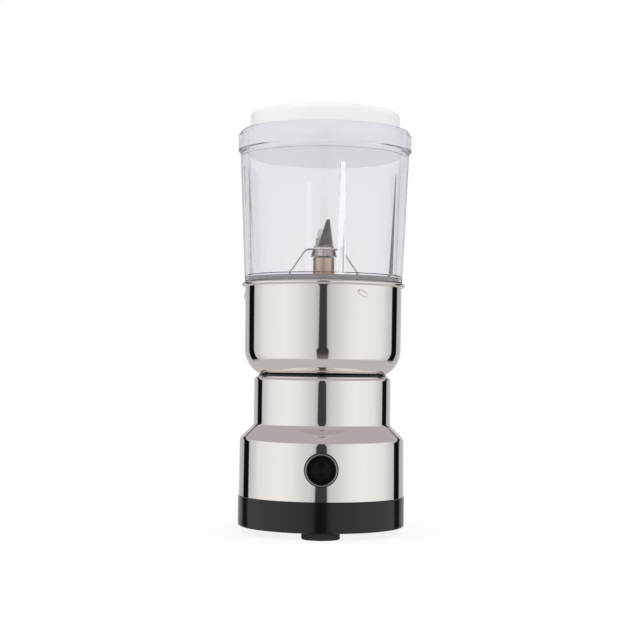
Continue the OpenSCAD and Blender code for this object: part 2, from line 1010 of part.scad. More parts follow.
module cooling_fan() {
  color(black)
    translate([0, 0, z_fan])
      difference() {
        union() {
          cylinder(r = 7, h = fan_h);
          translate([0, 0, fan_h - 1.6])
            cylinder(r = fan_d / 2, h = 1.6);
          for (turn = [0 : 45 : 315])
            rotate([0, 0, turn])
              translate([5, -0.8, 0])
                cube([fan_d / 2 - 5.5, 1.6, fan_h - 1]);
        }
        translate([0, 0, -1])
          cylinder(r = shaft_r + press, h = fan_h + 2);
      }
}

// Four driving dogs, rooted one millimetre deep in their disc
module coupling_dogs() {
  for (turn = [0 : 90 : 270])
    rotate([0, 0, turn])
      sector(coupling_r - 0.4, 5.4, dog_h + 1, 39);
}

module drive_coupling() {
  color(dark_steel) {
    translate([0, 0, z_drive])
      tube(coupling_r, shaft_r + press, disc_t);
    translate([0, 0, z_drive_top - 1])
      coupling_dogs();
  }
}

module driven_coupling() {
  color(dark_steel) {
    translate([0, 0, z_driven])
      tube(coupling_r, shaft_r + press, disc_t);
    translate([0, 0, z_driven - dog_h])
      rotate([0, 0, 45])
        coupling_dogs();
  }
}

// Bowl
module lug_shape(grow, length) {
  rotate([0, 0, lug_slant])
    linear_extrude(length)
      oblong(lug_long + 2 * grow, lug_wide + 2 * grow);
}

module at_lug(turn) {
  rotate([0, 0, turn])
    translate([0, -lug_tip_r, z_lug])
      rotate([90, 0, 0])
        children();
}

module grinding_bowl() {
  path = rounded_path(
    [
      [stem_r + 0.1, z_dome], [dome_top_r, z_dome], [dome_low_r, z_bowl], [bowl_foot_r, z_bowl],
      [bowl_low_r, z_knee], [bowl_r, z_rim - rim_h], [rim_r, z_rim - rim_h], [rim_r, z_rim],
      [neck_r, z_rim], [neck_r, z_rim + neck_h]
    ],
    [0, 2.5, 1.5, 1, bowl_corner_r, 0.5, 1.2, 1.2, 0.4, 0]
  );
  color(steel)
    difference() {
      rotate_extrude()
        polygon(sheet_outline(path, sheet_t));
      for (turn = [lug_turn, lug_turn + 120, lug_turn + 240])
        at_lug(turn)
          lug_shape(0.05, 12);
    }
}

module lock_lugs() {
  color(steel)
    for (turn = [lug_turn, lug_turn + 120, lug_turn + 240])
      union() {
        at_lug(turn)
          lug_shape(0, bowl_r + 0.4 - lug_tip_r);
        difference() {
          at_lug(turn)
            rotate([0, 0, lug_slant])
              linear_extrude(bowl_r + 0.6 - lug_tip_r)
                oblong(lug_head_long, lug_head_wide);
          translate([0, 0, z_lug - 10])
            cylinder(r = bowl_r + 0.02, h = 20);
        }
      }
}

module bearing_tower() {
  color(bronze)
    rotate_extrude()
      polygon([
        [bush_r + press, z_stem], [stem_r, z_stem], [stem_r, z_tower],
        [tower_foot_r, z_tower], [tower_foot_r, z_tower + tower_foot_h],
        [tower_waist_r, z_tower + tower_waist_h], [tower_r + 1, z_tower + tower_neck_h],
        [tower_r, z_tower + tower_taper_h], [tower_r, z_tower_top - 0.5], [tower_r - 0.5, z_tower_top],
        [bush_r + press, z_tower_top], [bush_r + press, z_tower_top - seal_h - bush_h],
        [shaft_r + 0.6, z_tower_top - seal_h - bush_h], [shaft_r + 0.6, z_stem + bush_h],
        [bush_r + press, z_stem + bush_h]
      ]);
}

module tower_nut() {
  color(steel)
    translate([0, 0, z_nut])
      difference() {
        cylinder(r = tower_nut_r, h = nut_t, $fn = 6);
        translate([0, 0, -1])
          cylinder(r = stem_r + press, h = nut_t + 2);
      }
}

module bowl_socket() {
  lug_h = z_socket - z_seat - 1.8;
  color(black)
    difference() {
      union() {
        translate([0, 0, z_socket])
          cylinder(r = collar_r - 1, h = socket_t);
        for (turn = [0, 120, 240])
          facing(turn)
            translate([0, 0, z_socket - lug_h])
              sector(collar_r - 1.3, collar_in_r + 0.6, lug_h + 1, notch_angle - 8);
      }
      translate([0, 0, z_socket - 1])
        cylinder(r = stem_r + 0.1, h = socket_t + 2);
    }
}

module upper_bush() {
  color(bronze)
    translate([0, 0, z_tower_top - seal_h - bush_h])
      tube(bush_r, shaft_r + running, bush_h);
}

module lower_bush() {
  color(bronze)
    translate([0, 0, z_stem])
      tube(bush_r, shaft_r + running, bush_h);
}

module shaft_seal() {
  color(rubber)
    translate([0, 0, z_tower_top - seal_h])
      tube(bush_r, shaft_r + 0.08, seal_h);
}

// Blades
module blade_shaft() {
  color(steel)
    translate([0, 0, z_driven])
      cylinder(r = shaft_r, h = z_blade_nut + blade_nut_h + 1 - z_driven);
}

module blade_collar() {
  color(dark_steel)
    translate([0, 0, z_collar])
      difference() {
        cylinder(r1 = tower_r + 1.6, r2 = tower_r + 0.4, h = blade_collar_h);
        translate([0, 0, -1])
          cylinder(r = shaft_r + press, h = blade_collar_h + 2);
      }
}

module lower_wing() {
  slope = (lower_reach - lower_bend) / cos(lower_droop);
  path = rounded_path(
    [
      [0, z_lower_blade], [lower_bend, z_lower_blade],
      [lower_reach, z_lower_blade - slope * sin(lower_droop)]
    ],
    [0, lower_bend_r, 0]
  );
  intersection() {
    rotate([90, 0, 0])
      linear_extrude(14, center = true)
        polygon(sheet_outline(path, blade_t));
    translate([0, 0, z_lower_blade - 80])
      linear_extrude(100)
        polygon([
          [0, -6], [lower_bend, -5.5], [lower_reach - 5, -4.2], [lower_reach - 0.2, -0.5],
          [lower_reach - 0.2, 1.5], [lower_reach - 6, 4], [lower_bend, 5.5], [0, 6]
        ]);
  }
}

module lower_blade() {
  color(dark_steel)
    difference() {
      union() {
        for (turn = [0, 180])
          rotate([0, 0, turn])
            lower_wing();
        translate([0, 0, z_lower_blade])
          cylinder(r = tower_r + 0.8, h = blade_t);
      }
      translate([0, 0, z_lower_blade - 1])
        cylinder(r = shaft_r + press, h = blade_t + 2);
    }
}

module blade_spacer() {
  color(steel)
    translate([0, 0, z_spacer])
      tube(6, shaft_r + press, spacer_h);
}

// Wing of the upper blade: sheet bent up by the angle lift, cut to a leaf with its point at the height rise
module upper_wing(rise, lift) {
  path = rounded_path(
    [
      [0, z_upper_blade], [upper_bend, z_upper_blade],
      [upper_bend + (rise + 2) / tan(lift), z_upper_blade + rise + 2]
    ],
    [0, upper_bend_r, 0]
  );
  tip = z_upper_blade + rise;
  intersection() {
    rotate([0, 0, -90])
      rotate([90, 0, 0])
        linear_extrude(20, center = true)
          polygon(sheet_outline(path, blade_t));
    rotate([90, 0, 0])
      linear_extrude(3 * tower_d)
        polygon([
          [-upper_left, z_upper_blade - 1], [upper_right, z_upper_blade - 1],
          [upper_right - 0.2, z_upper_blade + 2], [upper_tip_right, tip - 0.5],
          [upper_tip_right - 0.7, tip], [upper_tip_left, tip - 1],
          [1.8 - upper_left, z_upper_blade + 1.7]
        ]);
  }
}

module upper_blade() {
  color(dark_steel)
    difference() {
      union() {
        upper_wing(upper_rise, upper_lift);
        rotate([0, 0, 180])
          upper_wing(rear_rise, rear_lift);
        translate([0, 0, z_upper_blade])
          cylinder(r = upper_hub_r, h = blade_t);
      }
      translate([0, 0, z_upper_blade - 1])
        cylinder(r = shaft_r + press, h = blade_t + 2);
    }
}

module blade_nut() {
  color(steel)
    translate([0, 0, z_blade_nut])
      difference() {
        cylinder(r = 5.2, h = blade_nut_h, $fn = 6);
        translate([0, 0, -1])
          cylinder(r = shaft_r + press, h = blade_nut_h + 2);
      }
}

// Seal, jar and cap
module jar_gasket() {
  slot = 0.15;
  color(grey)
    rotate_extrude()
      polygon([
        [gasket_in_r, z_gasket], [neck_r - sheet_t - slot, z_gasket],
        [neck_r - sheet_t - slot, z_rim + neck_h + slot], [neck_r + slot, z_rim + neck_h + slot],
        [neck_r + slot, z_gasket], [gasket_out_r, z_gasket], [gasket_out_r, z_gasket_top],
        [gasket_in_r, z_gasket_top]
      ]);
}

module jar_body() {
  rim_edge = corner_arc(
    [jar_rim_r, z_jar_rim], [jar_rim_r, z_jar_top], [mouth_r, z_jar_top], jar_rim_round
  );
  rotate_extrude()
    polygon(concat(
      [
        [skirt_in_r, z_skirt], [skirt_r, z_skirt], [skirt_r, z_groove], [groove_r, z_groove],
        [groove_r, z_rim + 2 * rest_gap], [jar_low_r, z_rim + 2 * rest_gap],
        [jar_top_r, z_jar_rim], [jar_rim_r, z_jar_rim + 0.6]
      ],
      rim_edge,
      [
        [mouth_r, z_jar_top], [mouth_r, z_ledge], [jar_in_r, z_ledge],
        [jar_in_low_r, z_groove + 1.5], [skirt_in_r, z_groove + 1.3]
      ]
    ));
}

// Inner rib that grows from nothing under the rim to its full depth and width at the jar's foot
module jar_rib() {
  low = z_groove + 0.5;
  intersection() {
    rotate([90, 0, 0])
      linear_extrude(2 * rib_low_w, center = true)
        polygon([
          [jar_in_low_r - rib_deep, low], [jar_in_low_r - 0.6, low],
          [jar_in_low_r + 1.5, low + 2.9], [jar_in_r + 1, rib_top + 3], [jar_in_r - 0.8, rib_top]
        ]);
    rotate([90, 0, 90])
      linear_extrude(jar_rim_r)
        polygon([
          [-rib_low_w / 2, low - 1], [rib_low_w / 2, low - 1],
          [rib_top_w / 2, rib_top + 4], [-rib_top_w / 2, rib_top + 4]
        ]);
  }
}

// Path of a bowl lug in the skirt: straight in, then round by the locking turn
module lug_way() {
  clear_z = lug_high / 2 + 0.5;
  half = asin((lug_span / 2 + 0.6) / skirt_in_r);
  translate([0, 0, z_skirt - 1])
    sector(skirt_r + 1, skirt_in_r - 1, z_lug - z_skirt + 1, 2 * half);
  translate([0, 0, z_lug - clear_z])
    rotate([0, 0, -jar_turn / 2])
      sector(skirt_r + 1.2, skirt_in_r - 1.2, 2 * clear_z, jar_turn + 2 * half + 0.6);
}

module clear_jar() {
  color(clear)
    difference() {
      union() {
        jar_body();
        for (turn = [0 : 90 : 270])
          facing(rib_turn + turn)
            jar_rib();
      }
      for (turn = [lug_turn, lug_turn + 120, lug_turn + 240])
        facing(turn)
          lug_way();
    }
}

module jar_cap() {
  z_low = z_ledge + rest_gap;
  z_step = z_jar_top - 0.4;
  color(white)
    rotate_extrude()
      polygon([
        [0, z_cap_top], [cap_r - 1.9, z_cap_top], [cap_r - 1, z_cap_top - 0.3],
        [cap_r - 0.6, z_cap_top - 1], [cap_r, z_step], [plug_r, z_step], [plug_r, z_low],
        [plug_r - cap_wall, z_low], [plug_r - cap_wall, z_step - cap_wall],
        [cap_r - cap_wall, z_step - cap_wall], [cap_r - cap_wall - 0.6, z_cap_top - cap_wall],
        [0, z_cap_top - cap_wall]
      ]);
}

foot_front();
foot_left();
foot_right();
base_ring();
bottom_cover();
cover_screws();
base_shell();
motor_frame();
bowl_seat();
seat_screws();
button_bezel();
switch_nut();
terminal_plate();
switch_terminals();
button_spring();
push_button();
contact_bridge();
cord_gland();
lead_wires();
stator_core();
field_coil_front();
field_coil_rear();
upper_bracket();
lower_bracket();
upper_bearing();
lower_bearing();
motor_bolts();
brush_plate();
brush_holder_right();
brush_holder_left();
brush_right();
brush_left();
motor_shaft();
armature_core();
armature_windings();
commutator();
cooling_fan();
drive_coupling();
grinding_bowl();
lock_lugs();
bearing_tower();
tower_nut();
bowl_socket();
upper_bush();
lower_bush();
shaft_seal();
blade_shaft();
driven_coupling();
blade_collar();
lower_blade();
blade_spacer();
upper_blade();
blade_nut();
jar_gasket();
clear_jar();
jar_cap();
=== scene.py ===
"""Looks of a small blender with a grinding bowl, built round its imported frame."""

import json
import math
from types import SimpleNamespace

import bmesh
import bpy
import numpy as np
from bpy.props import FloatProperty, FloatVectorProperty, PointerProperty
from bpy.types import Operator, Panel, PropertyGroup
from mathutils import Matrix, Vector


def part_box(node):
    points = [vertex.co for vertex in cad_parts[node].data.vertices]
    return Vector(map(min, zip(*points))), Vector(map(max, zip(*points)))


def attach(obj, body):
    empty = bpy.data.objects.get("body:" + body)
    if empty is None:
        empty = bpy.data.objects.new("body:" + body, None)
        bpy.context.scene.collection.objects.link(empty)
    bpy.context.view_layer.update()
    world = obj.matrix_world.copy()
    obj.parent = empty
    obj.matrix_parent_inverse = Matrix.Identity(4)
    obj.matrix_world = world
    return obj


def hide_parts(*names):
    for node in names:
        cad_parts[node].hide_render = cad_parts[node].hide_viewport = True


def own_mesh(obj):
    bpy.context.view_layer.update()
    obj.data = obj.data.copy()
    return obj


bl_info = {
    "name": "Countertop grinder",
    "version": (1, 0, 0),
    "blender": (4, 5, 0),
    "location": "View3D > Sidebar > Grinder",
    "description": "Builds the looks of a small blender with a grinding bowl",
    "category": "Object",
}

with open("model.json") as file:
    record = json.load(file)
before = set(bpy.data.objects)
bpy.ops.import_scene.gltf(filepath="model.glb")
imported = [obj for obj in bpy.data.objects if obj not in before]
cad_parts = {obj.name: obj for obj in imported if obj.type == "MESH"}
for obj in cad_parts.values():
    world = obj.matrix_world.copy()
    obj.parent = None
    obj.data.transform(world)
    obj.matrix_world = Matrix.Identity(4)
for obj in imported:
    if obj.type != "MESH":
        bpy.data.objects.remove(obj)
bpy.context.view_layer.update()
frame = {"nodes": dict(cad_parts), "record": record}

MM = 0.001
TAU = 2 * math.pi
DEGREES = 180 / math.pi
WHITE = (1, 1, 1, 1)

# Steps round the large turned pieces and round the button
LINES = 240
BUTTON_LINES = 144

# Turns from the front of the first rib and the first lug, and the jar's locking turn, in degrees
RIB_TURN = 13
LUG_TURN = 28.7
LOCK_TURN = 25.0

# Level of the lugs under the bowl's rim and half the height of the slots they run in, in millimetres
LUG_DROP = 8
SLOT_HALF = 2.41


def node_box(node):
    """Lowest and highest corner of a frame node, in millimetres."""
    low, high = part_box(node)
    return np.array(low) / MM, np.array(high) / MM


SHELL_LOW, SHELL_HIGH = node_box("base_shell")
BOWL_LOW, BOWL_HIGH = node_box("grinding_bowl")
JAR_LOW, JAR_HIGH = node_box("clear_jar")
CAP_LOW, CAP_HIGH = node_box("jar_cap")
BEZEL_LOW, BEZEL_HIGH = node_box("button_bezel")
BUTTON_LOW, BUTTON_HIGH = node_box("push_button")
SPRING_LOW, SPRING_HIGH = node_box("button_spring")
TOWER_LOW, TOWER_HIGH = node_box("bearing_tower")
_, LOWER_HIGH = node_box("lower_blade")
UPPER_LOW, UPPER_HIGH = node_box("upper_blade")


# Sizes and colours

def length(name, text, mm):
    return FloatProperty(name=name, description=text, default=mm * MM, min=0.0, precision=5, unit="LENGTH")


def radius_of(name, place, mm):
    return length(name, "Radius of the " + place, mm)


def level_of(name, place, mm):
    return length(name, "Level of the " + place, mm)


def reach_of(name, place, mm):
    return length(name, f"Distance of the {place} from the axis", mm)


def angle(name, text, degrees):
    turn = math.radians(degrees)
    return FloatProperty(name=name, description=text, default=turn, subtype="ANGLE", unit="ROTATION")


def tint(name, text, rgb):
    settings = {"size": 3, "min": 0.0, "max": 1.0, "subtype": "COLOR"}
    return FloatVectorProperty(name=name, description=text, default=rgb, **settings)


class GrinderSizes(PropertyGroup):
    sheet: length("Sheet", "Thickness of the pressed steel", 0.8)
    shell_r: radius_of("Shell foot radius", "base at its foot", SHELL_HIGH[0])
    shoulder_r: radius_of("Shell shoulder radius", "base under its shoulder", 51.6)
    upper_r: radius_of("Upper wall radius", "narrow upper wall", 43.0)
    flange_r: length("Flange radius", "Inner radius of the shell's top flange", 36.8)
    shell_z: level_of("Shell foot", "shell's lower edge", SHELL_LOW[2])
    shoulder_z: length("Shoulder", "Level where the shoulder starts", 58.8)
    upper_z: length("Upper wall", "Level where the upper wall starts", 67.2)
    shell_top_z: level_of("Shell top", "shell's top", SHELL_HIGH[2])
    button_z: level_of("Button", "button's axis", (BEZEL_LOW[2] + BEZEL_HIGH[2]) / 2)
    hole_r: radius_of("Button hole", "button's hole", 9.35)
    bezel_r: length("Bezel", "Outer radius of the button's bezel", BEZEL_HIGH[0])
    bezel_front: reach_of("Bezel front", "bezel's front", -BEZEL_LOW[1])
    bezel_back: reach_of("Bezel back", "barrel's back", -BEZEL_HIGH[1])
    button_r: radius_of("Button radius", "button's face", 7.5)
    button_front: reach_of("Button front", "button's front", -BUTTON_LOW[1])
    button_back: reach_of("Button back", "button's stem end", -BUTTON_HIGH[1])
    spring_r: length("Spring", "Outer radius of the return spring", SPRING_HIGH[0])
    spring_wire: length("Spring wire", "Thickness of the return spring's wire", 0.8)
    spring_front: reach_of("Spring front", "spring's front", -SPRING_LOW[1])
    spring_back: reach_of("Spring back", "spring's back", -SPRING_HIGH[1])
    button_travel: length("Button travel", "How far the button goes in", 3.0)
    bowl_r: radius_of("Bowl radius", "bowl's wall under its rim", 49.4)
    bowl_low_r: radius_of("Bowl lower radius", "bowl's wall above its rounded foot", 49.1)
    bowl_foot_r: radius_of("Bowl foot radius", "flat the bowl stands on", 39.5)
    bowl_z: level_of("Bowl floor", "bowl's underside", BOWL_LOW[2])
    bowl_corner: length("Bowl corner", "Rounding between the bowl's floor and wall", 17.0)
    dome_h: length("Raised floor", "Height of the raised floor over the coupling", 19.9)
    rim_r: radius_of("Rim radius", "rolled rim", BOWL_HIGH[0])
    rim_h: length("Rim height", "Height of the rolled rim", 2.5)
    neck_r: radius_of("Neck radius", "neck above the rim", 47.6)
    neck_h: length("Neck height", "Height of the neck above the rim", 1.3)
    neck_top_z: level_of("Neck top", "bowl's upper edge", BOWL_HIGH[2])
    skirt_z: level_of("Skirt", "jar's lower edge inside the bowl", JAR_LOW[2])
    jar_low_r: radius_of("Jar foot radius", "jar above the rim", 49.8)
    jar_top_r: radius_of("Jar radius", "jar under its thick rim", 53.5)
    jar_rim_r: radius_of("Jar rim radius", "jar's thick rim", JAR_HIGH[0])
    jar_rim_h: length("Jar rim height", "Height of the jar's thick rim", 13.5)
    jar_top_z: level_of("Jar top", "jar's upper edge", JAR_HIGH[2])
    jar_wall: length("Jar wall", "Thickness of the jar's wall under the rim", 4.7)
    rib_deep: length("Rib depth", "Depth of the inner ribs at the jar's foot", 3.0)
    rib_top: length("Rib width above", "Width of the inner ribs at their upper end", 3.0)
    rib_low: length("Rib width below", "Width of the inner ribs at the jar's foot", 5.4)
    blade: length("Blade", "Thickness of the blade sheet", 1.0)
    plug_r: radius_of("Cap plug radius", "cap's plug in the jar's mouth", CAP_HIGH[0])
    cap_low_z: level_of("Cap plug foot", "plug's lower edge", CAP_LOW[2])
    cap_top_z: level_of("Cap top", "cap's top", CAP_HIGH[2])
    cap_wall: length("Cap wall", "Thickness of the cap", 2.0)


class GrinderColours(PropertyGroup):
    steel: tint("Steel", "Polished steel of shell and bowl", (0.88, 0.845, 0.815))
    black: tint("Black plastic", "Base ring and seat", (0.005, 0.0047, 0.005))
    button: tint("Button", "Push button and bezel", (0.006, 0.0055, 0.006))
    rubber: tint("Rubber", "Feet and cord gland", (0.018, 0.017, 0.017))
    jar: tint("Jar", "Clear plastic of the jar", (0.945, 0.948, 0.948))
    cap: tint("Cap", "White plastic of the cap", (0.98, 0.945, 0.955))
    gasket: tint("Gasket", "Silicone seal at the jar's foot", (0.26, 0.24, 0.25))
    bronze: tint("Bronze", "Tower, bushes and contacts", (0.86, 0.68, 0.525))
    blade: tint("Blade steel", "Blades and their collar", (0.82, 0.775, 0.755))
    ground: tint("Ground steel", "Ground faces of the lower blade", (0.95, 0.93, 0.93))


class GrinderStudio(PropertyGroup):
    distance: reach_of("Distance", "camera", 927.0)
    height: length("Height", "Height of the camera above the table", 103.6)
    pitch: angle("Pitch", "Upward tilt of the camera", 1.84)
    yaw: angle("Yaw", "Turn of the camera to the left", 0.119)
    roll: angle("Roll", "Roll of the camera", 0.67)
    lens: FloatProperty(name="Lens", description="Focal length of the camera", default=82.4, unit="CAMERA")
    dome: FloatProperty(name="Dome", description="Level of the even light from all round", default=1.0)
    key: FloatProperty(name="Key lamp", description="Power of the large lamp in watts", default=2.0)


def in_mm(context):
    """The sizes as plain numbers in millimetres."""
    group = context.scene.grinder_sizes
    return SimpleNamespace(**{key: getattr(group, key) / MM for key in group.__annotations__})


# Curves and surfaces, in millimetres

def unit(vector):
    return vector / np.linalg.norm(vector)


def units(rows):
    return rows / np.linalg.norm(rows, axis=1)[:, None]


def cut(start, end, step):
    """Inner points of the straight run from start to end, in equal pieces close to step."""
    pieces = max(1, round(np.linalg.norm(end - start) / step))
    return start + (end - start) * np.linspace(0, 1, pieces + 1)[1:-1, None]


def fillets(corners, step, closed=False):
    """Profile through corners (a, b, radius). Each corner becomes an arc that touches both of its
    sides, and each straight run between two arcs is cut into equal pieces close to step."""
    points = np.array([corner[:2] for corner in corners], float)
    runs = []
    for i, (_, _, radius) in enumerate(corners):
        arc = points[i : i + 1]
        if radius:
            u = unit(points[i - 1] - points[i])
            w = unit(points[(i + 1) % len(points)] - points[i])
            half = math.acos(float(np.clip(u @ w, -1, 1))) / 2
            centre = points[i] + unit(u + w) * radius / math.sin(half)
            p, q = (points[i] + d * radius / math.tan(half) - centre for d in (u, w))
            swing = math.atan2(p[0] * q[1] - p[1] * q[0], p @ q)
            bits = max(3, math.ceil(abs(swing) / math.radians(8)))
            turn = math.atan2(p[1], p[0]) + swing * np.linspace(0, 1, bits + 1)
            arc = centre + radius * np.stack([np.cos(turn), np.sin(turn)], -1)
        if runs:
            runs.append(cut(runs[-1][-1], arc[0], step))
        runs.append(arc)
        runs = [run for run in runs if len(run)]
    if closed:
        runs.append(cut(runs[-1][-1], runs[0][0], step))
    return np.concatenate(runs)


def sheet_outline(path, thick):
    """Closed outline of a sheet: the path, then the path moved to its left by the thickness along
    the mean normal of the two runs at each point, walked backwards."""
    run = units(np.diff(path, axis=0))
    left = np.stack([-run[:, 1], run[:, 0]], -1)
    before, after = np.vstack([left[:1], left]), np.vstack([left, left[-1:]])
    mean = units(before + after)
    inner = path + mean * (thick / np.sum(mean * before, axis=1))[:, None]
    return np.concatenate([path, inner[::-1]])


def round_turns(count):
    return np.linspace(0, TAU, count, endpoint=False)


def lathe(profile, turns):
    """A profile of (radius, level) carried round the upright axis: at turn a from the front, a point
    stands at x = r sin a, y = -r cos a, z = level."""
    r, z = profile.T
    a = turns[:, None]
    return np.stack([r * np.sin(a), -r * np.cos(a), z + 0 * a], -1)


def faces_of(rows, columns, wrap_rows=True, wrap_columns=True):
    """Corner numbers of a grid's faces. A wrapped direction joins the last line to the first."""
    index = np.arange(rows * columns).reshape(rows, columns)
    if wrap_rows:
        index = np.vstack([index, index[:1]])
    if wrap_columns:
        index = np.hstack([index, index[:, :1]])
    corners = [index[:-1, :-1], index[1:, :-1], index[1:, 1:], index[:-1, 1:]]
    return np.stack(corners, -1).reshape(-1, 4)


def turned(profile, closed=True, count=LINES):
    """Points and faces of a turned piece. An open profile starts and ends on the axis."""
    grid = lathe(profile, round_turns(count))
    return grid, faces_of(count, len(profile), True, closed)


def facing_front(surface, level):
    """A turned piece laid on the button's axis: its own axis points to the front at that level."""
    grid, faces = surface
    x, y, z = np.moveaxis(grid, -1, 0)
    return np.stack([x, -z, level - y], -1), faces


def placed(name, data):
    """A new object of the scene."""
    made = bpy.data.objects.new(name, data)
    bpy.context.scene.collection.objects.link(made)
    return made


def piece(name, surfaces, body, slot, stands_for, look=None, sharp=32):
    """One mesh from surfaces of (points, faces): seams and poles are merged, faces turned outwards,
    and edges sharper than the angle stay crisp. The piece rides on its body and has its slot's finish,
    or the one that is named."""
    first, points, faces = 0, [], []
    for grid, corners in surfaces:
        points.append(grid.reshape(-1, 3))
        faces.append(corners + first)
        first += len(points[-1])
    mesh = bpy.data.meshes.new(name)
    mesh.from_pydata((np.concatenate(points) * MM).tolist(), [], np.concatenate(faces).tolist())
    work = bmesh.new()
    work.from_mesh(mesh)
    bmesh.ops.remove_doubles(work, verts=work.verts, dist=2e-6)
    bmesh.ops.recalc_face_normals(work, faces=work.faces)
    work.to_mesh(mesh)
    work.free()
    mesh.shade_smooth()
    mesh.set_sharp_from_angle(angle=math.radians(sharp))
    mesh.materials.append(FINISHES[look or slot])
    made = placed(name, mesh)
    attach(made, body)
    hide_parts(*stands_for)
    return made


# Materials

class Nodes:
    """Adds nodes to a tree. A math node is made by calling its operation's name in small letters."""

    def __init__(self, tree):
        self.tree = tree

    def __getattr__(self, operation):
        def calc(*values):
            inputs = {f"i{place}": value for place, value in enumerate(values)}
            return self.node("Math", {"operation": operation.upper()}, **inputs).outputs[0]

        return calc

    def put(self, value, socket):
        """Links the socket if the value is another socket, and sets it otherwise."""
        if isinstance(value, bpy.types.NodeSocket):
            self.tree.links.new(value, socket)
        else:
            socket.default_value = value

    def node(self, kind, settings=None, **values):
        """A node with its settings and inputs, given by name or, as i0, i1 and so on, by place."""
        node = self.tree.nodes.new("ShaderNode" + kind)
        for key, value in (settings or {}).items():
            setattr(node, key, value)
        for key, value in values.items():
            by_place = key[0] == "i" and key[1:].isdigit()
            self.put(value, node.inputs[int(key[1:]) if by_place else key.replace("_", " ")])
        return node

    def group(self, group, **values):
        return self.node("Group", {"node_tree": group}, **values).outputs

    def mix(self, share, first, second, blend="MIX"):
        settings = {"data_type": "RGBA", "blend_type": blend}
        return self.node("Mix", settings, i0=share, i6=first, i7=second).outputs[2]

    def mix_shader(self, share, first, second):
        return self.node("MixShader", i0=share, i1=first, i2=second).outputs[0]

    def spread(self, value, low, high, start=0.0, end=1.0, clamp=True):
        """From start to end as the value goes from low to high."""
        ends = {"From_Min": low, "From_Max": high, "To_Min": start, "To_Max": end}
        return self.node("MapRange", {"clamp": clamp}, Value=value, **ends).outputs[0]

    def ramp(self, value, stops):
        """Greys with straight runs between stops of (degrees from 0 to 180, grey)."""
        node = self.node("ValToRGB", Fac=self.divide(value, 180.0))
        elements = node.color_ramp.elements
        while len(elements) < len(stops):
            elements.new(0.5)
        for element, (place, grey) in zip(elements, stops):
            element.position = place / 180
            element.color = (grey, grey, grey, 1)
        return node.outputs[0]

    def grey(self, value):
        return self.node("CombineColor", i0=value, i1=value, i2=value).outputs[0]

    def place(self):
        return self.node("TexCoord").outputs["Object"]

    def xyz(self, vector):
        return self.node("SeparateXYZ", i0=vector).outputs

    def across(self, a, b):
        """Distance from an axis: the root of the sum of two squares."""
        return self.sqrt(self.add(self.multiply(a, a), self.multiply(b, b)))

    def seen(self, path):
        """1 for a ray from the camera or through a clear wall."""
        return self.maximum(path["Is Camera Ray"], path["Is Transmission Ray"])

    def mirrored(self, path):
        """1 for a ray that some piece has mirrored, apart from one turned back inside a clear wall: that
        one has gone in and come out once."""
        once = self.less_than(path["Transmission Depth"], 2.5)
        inner = self.multiply(once, path["Is Transmission Ray"])
        return self.multiply(self.greater_than(path["Glossy Depth"], 0.5), self.subtract(1.0, inner))


SURFACE_INPUTS = {"Scale": "Float", "Light": "Color", "Dark": "Color", "Smooth": "Float", "Rough": "Float"}
SURFACE_OUTPUTS = {"Color": "Color", "Roughness": "Float", "Height": "Float"}


def node_group(name, outputs, inputs=None):
    """A new shader node group with named sockets: its nodes, what goes in and what comes out."""
    tree = bpy.data.node_groups.new(name, "ShaderNodeTree")
    for way, sockets in (("INPUT", inputs or {}), ("OUTPUT", outputs)):
        for socket, kind in sockets.items():
            tree.interface.new_socket(name=socket, in_out=way, socket_type="NodeSocket" + kind)
    return Nodes(tree), tree.nodes.new("NodeGroupInput").outputs, tree.nodes.new("NodeGroupOutput").inputs


def surface_group(name, pattern):
    """Colour and roughness follow the broad part of a pattern, and the height follows its fine part."""
    n, source, sink = node_group(name, SURFACE_OUTPUTS, SURFACE_INPUTS)
    broad, fine = pattern(n, n.place(), source["Scale"])
    n.put(n.mix(broad, source["Dark"], source["Light"]), sink["Color"])
    n.put(n.spread(broad, 0.0, 1.0, source["Smooth"], source["Rough"]), sink["Roughness"])
    n.put(fine, sink["Height"])
    return n.tree


def moulded_grain(n, place, scale):
    """Even noise in all directions: broad clouds and a fine pebble."""
    broad = n.node("TexNoise", Vector=place, Scale=n.multiply(scale, 0.06), Detail=3.0)
    fine = n.node("TexNoise", Vector=place, Scale=scale, Detail=2.0)
    return broad.outputs[0], fine.outputs[0]


def turned_lines(n, place, scale):
    """Broad clouds, and noise drawn out round the upright axis, as a polishing wheel leaves it."""
    x, y, z = n.xyz(place)
    along = n.add(z, n.multiply(n.across(x, y), 0.6))
    drawn = n.node("CombineXYZ", X=n.multiply(x, 0.03), Y=n.multiply(y, 0.03), Z=along)
    fine = n.node("TexNoise", Vector=drawn.outputs[0], Scale=scale, Detail=3.0)
    broad = n.node("TexNoise", Vector=place, Scale=n.multiply(scale, 0.02), Detail=4.0)
    return broad.outputs[0], fine.outputs[0]


def stacked_layers(n, place, scale):
    """Fine bands across the upright axis, as in laminations and windings."""
    settings = {"bands_direction": "Z"}
    bands = n.node("TexWave", settings, Vector=place, Scale=scale, Distortion=0.6, Detail=1.0)
    return bands.outputs["Fac"], bands.outputs["Fac"]


def opened(material):
    """The nodes of a material and the inputs of its shader."""
    material.use_nodes = True
    return Nodes(material.node_tree), material.node_tree.nodes["Principled BSDF"].inputs


def source_of(socket):
    return socket.links[0].from_socket


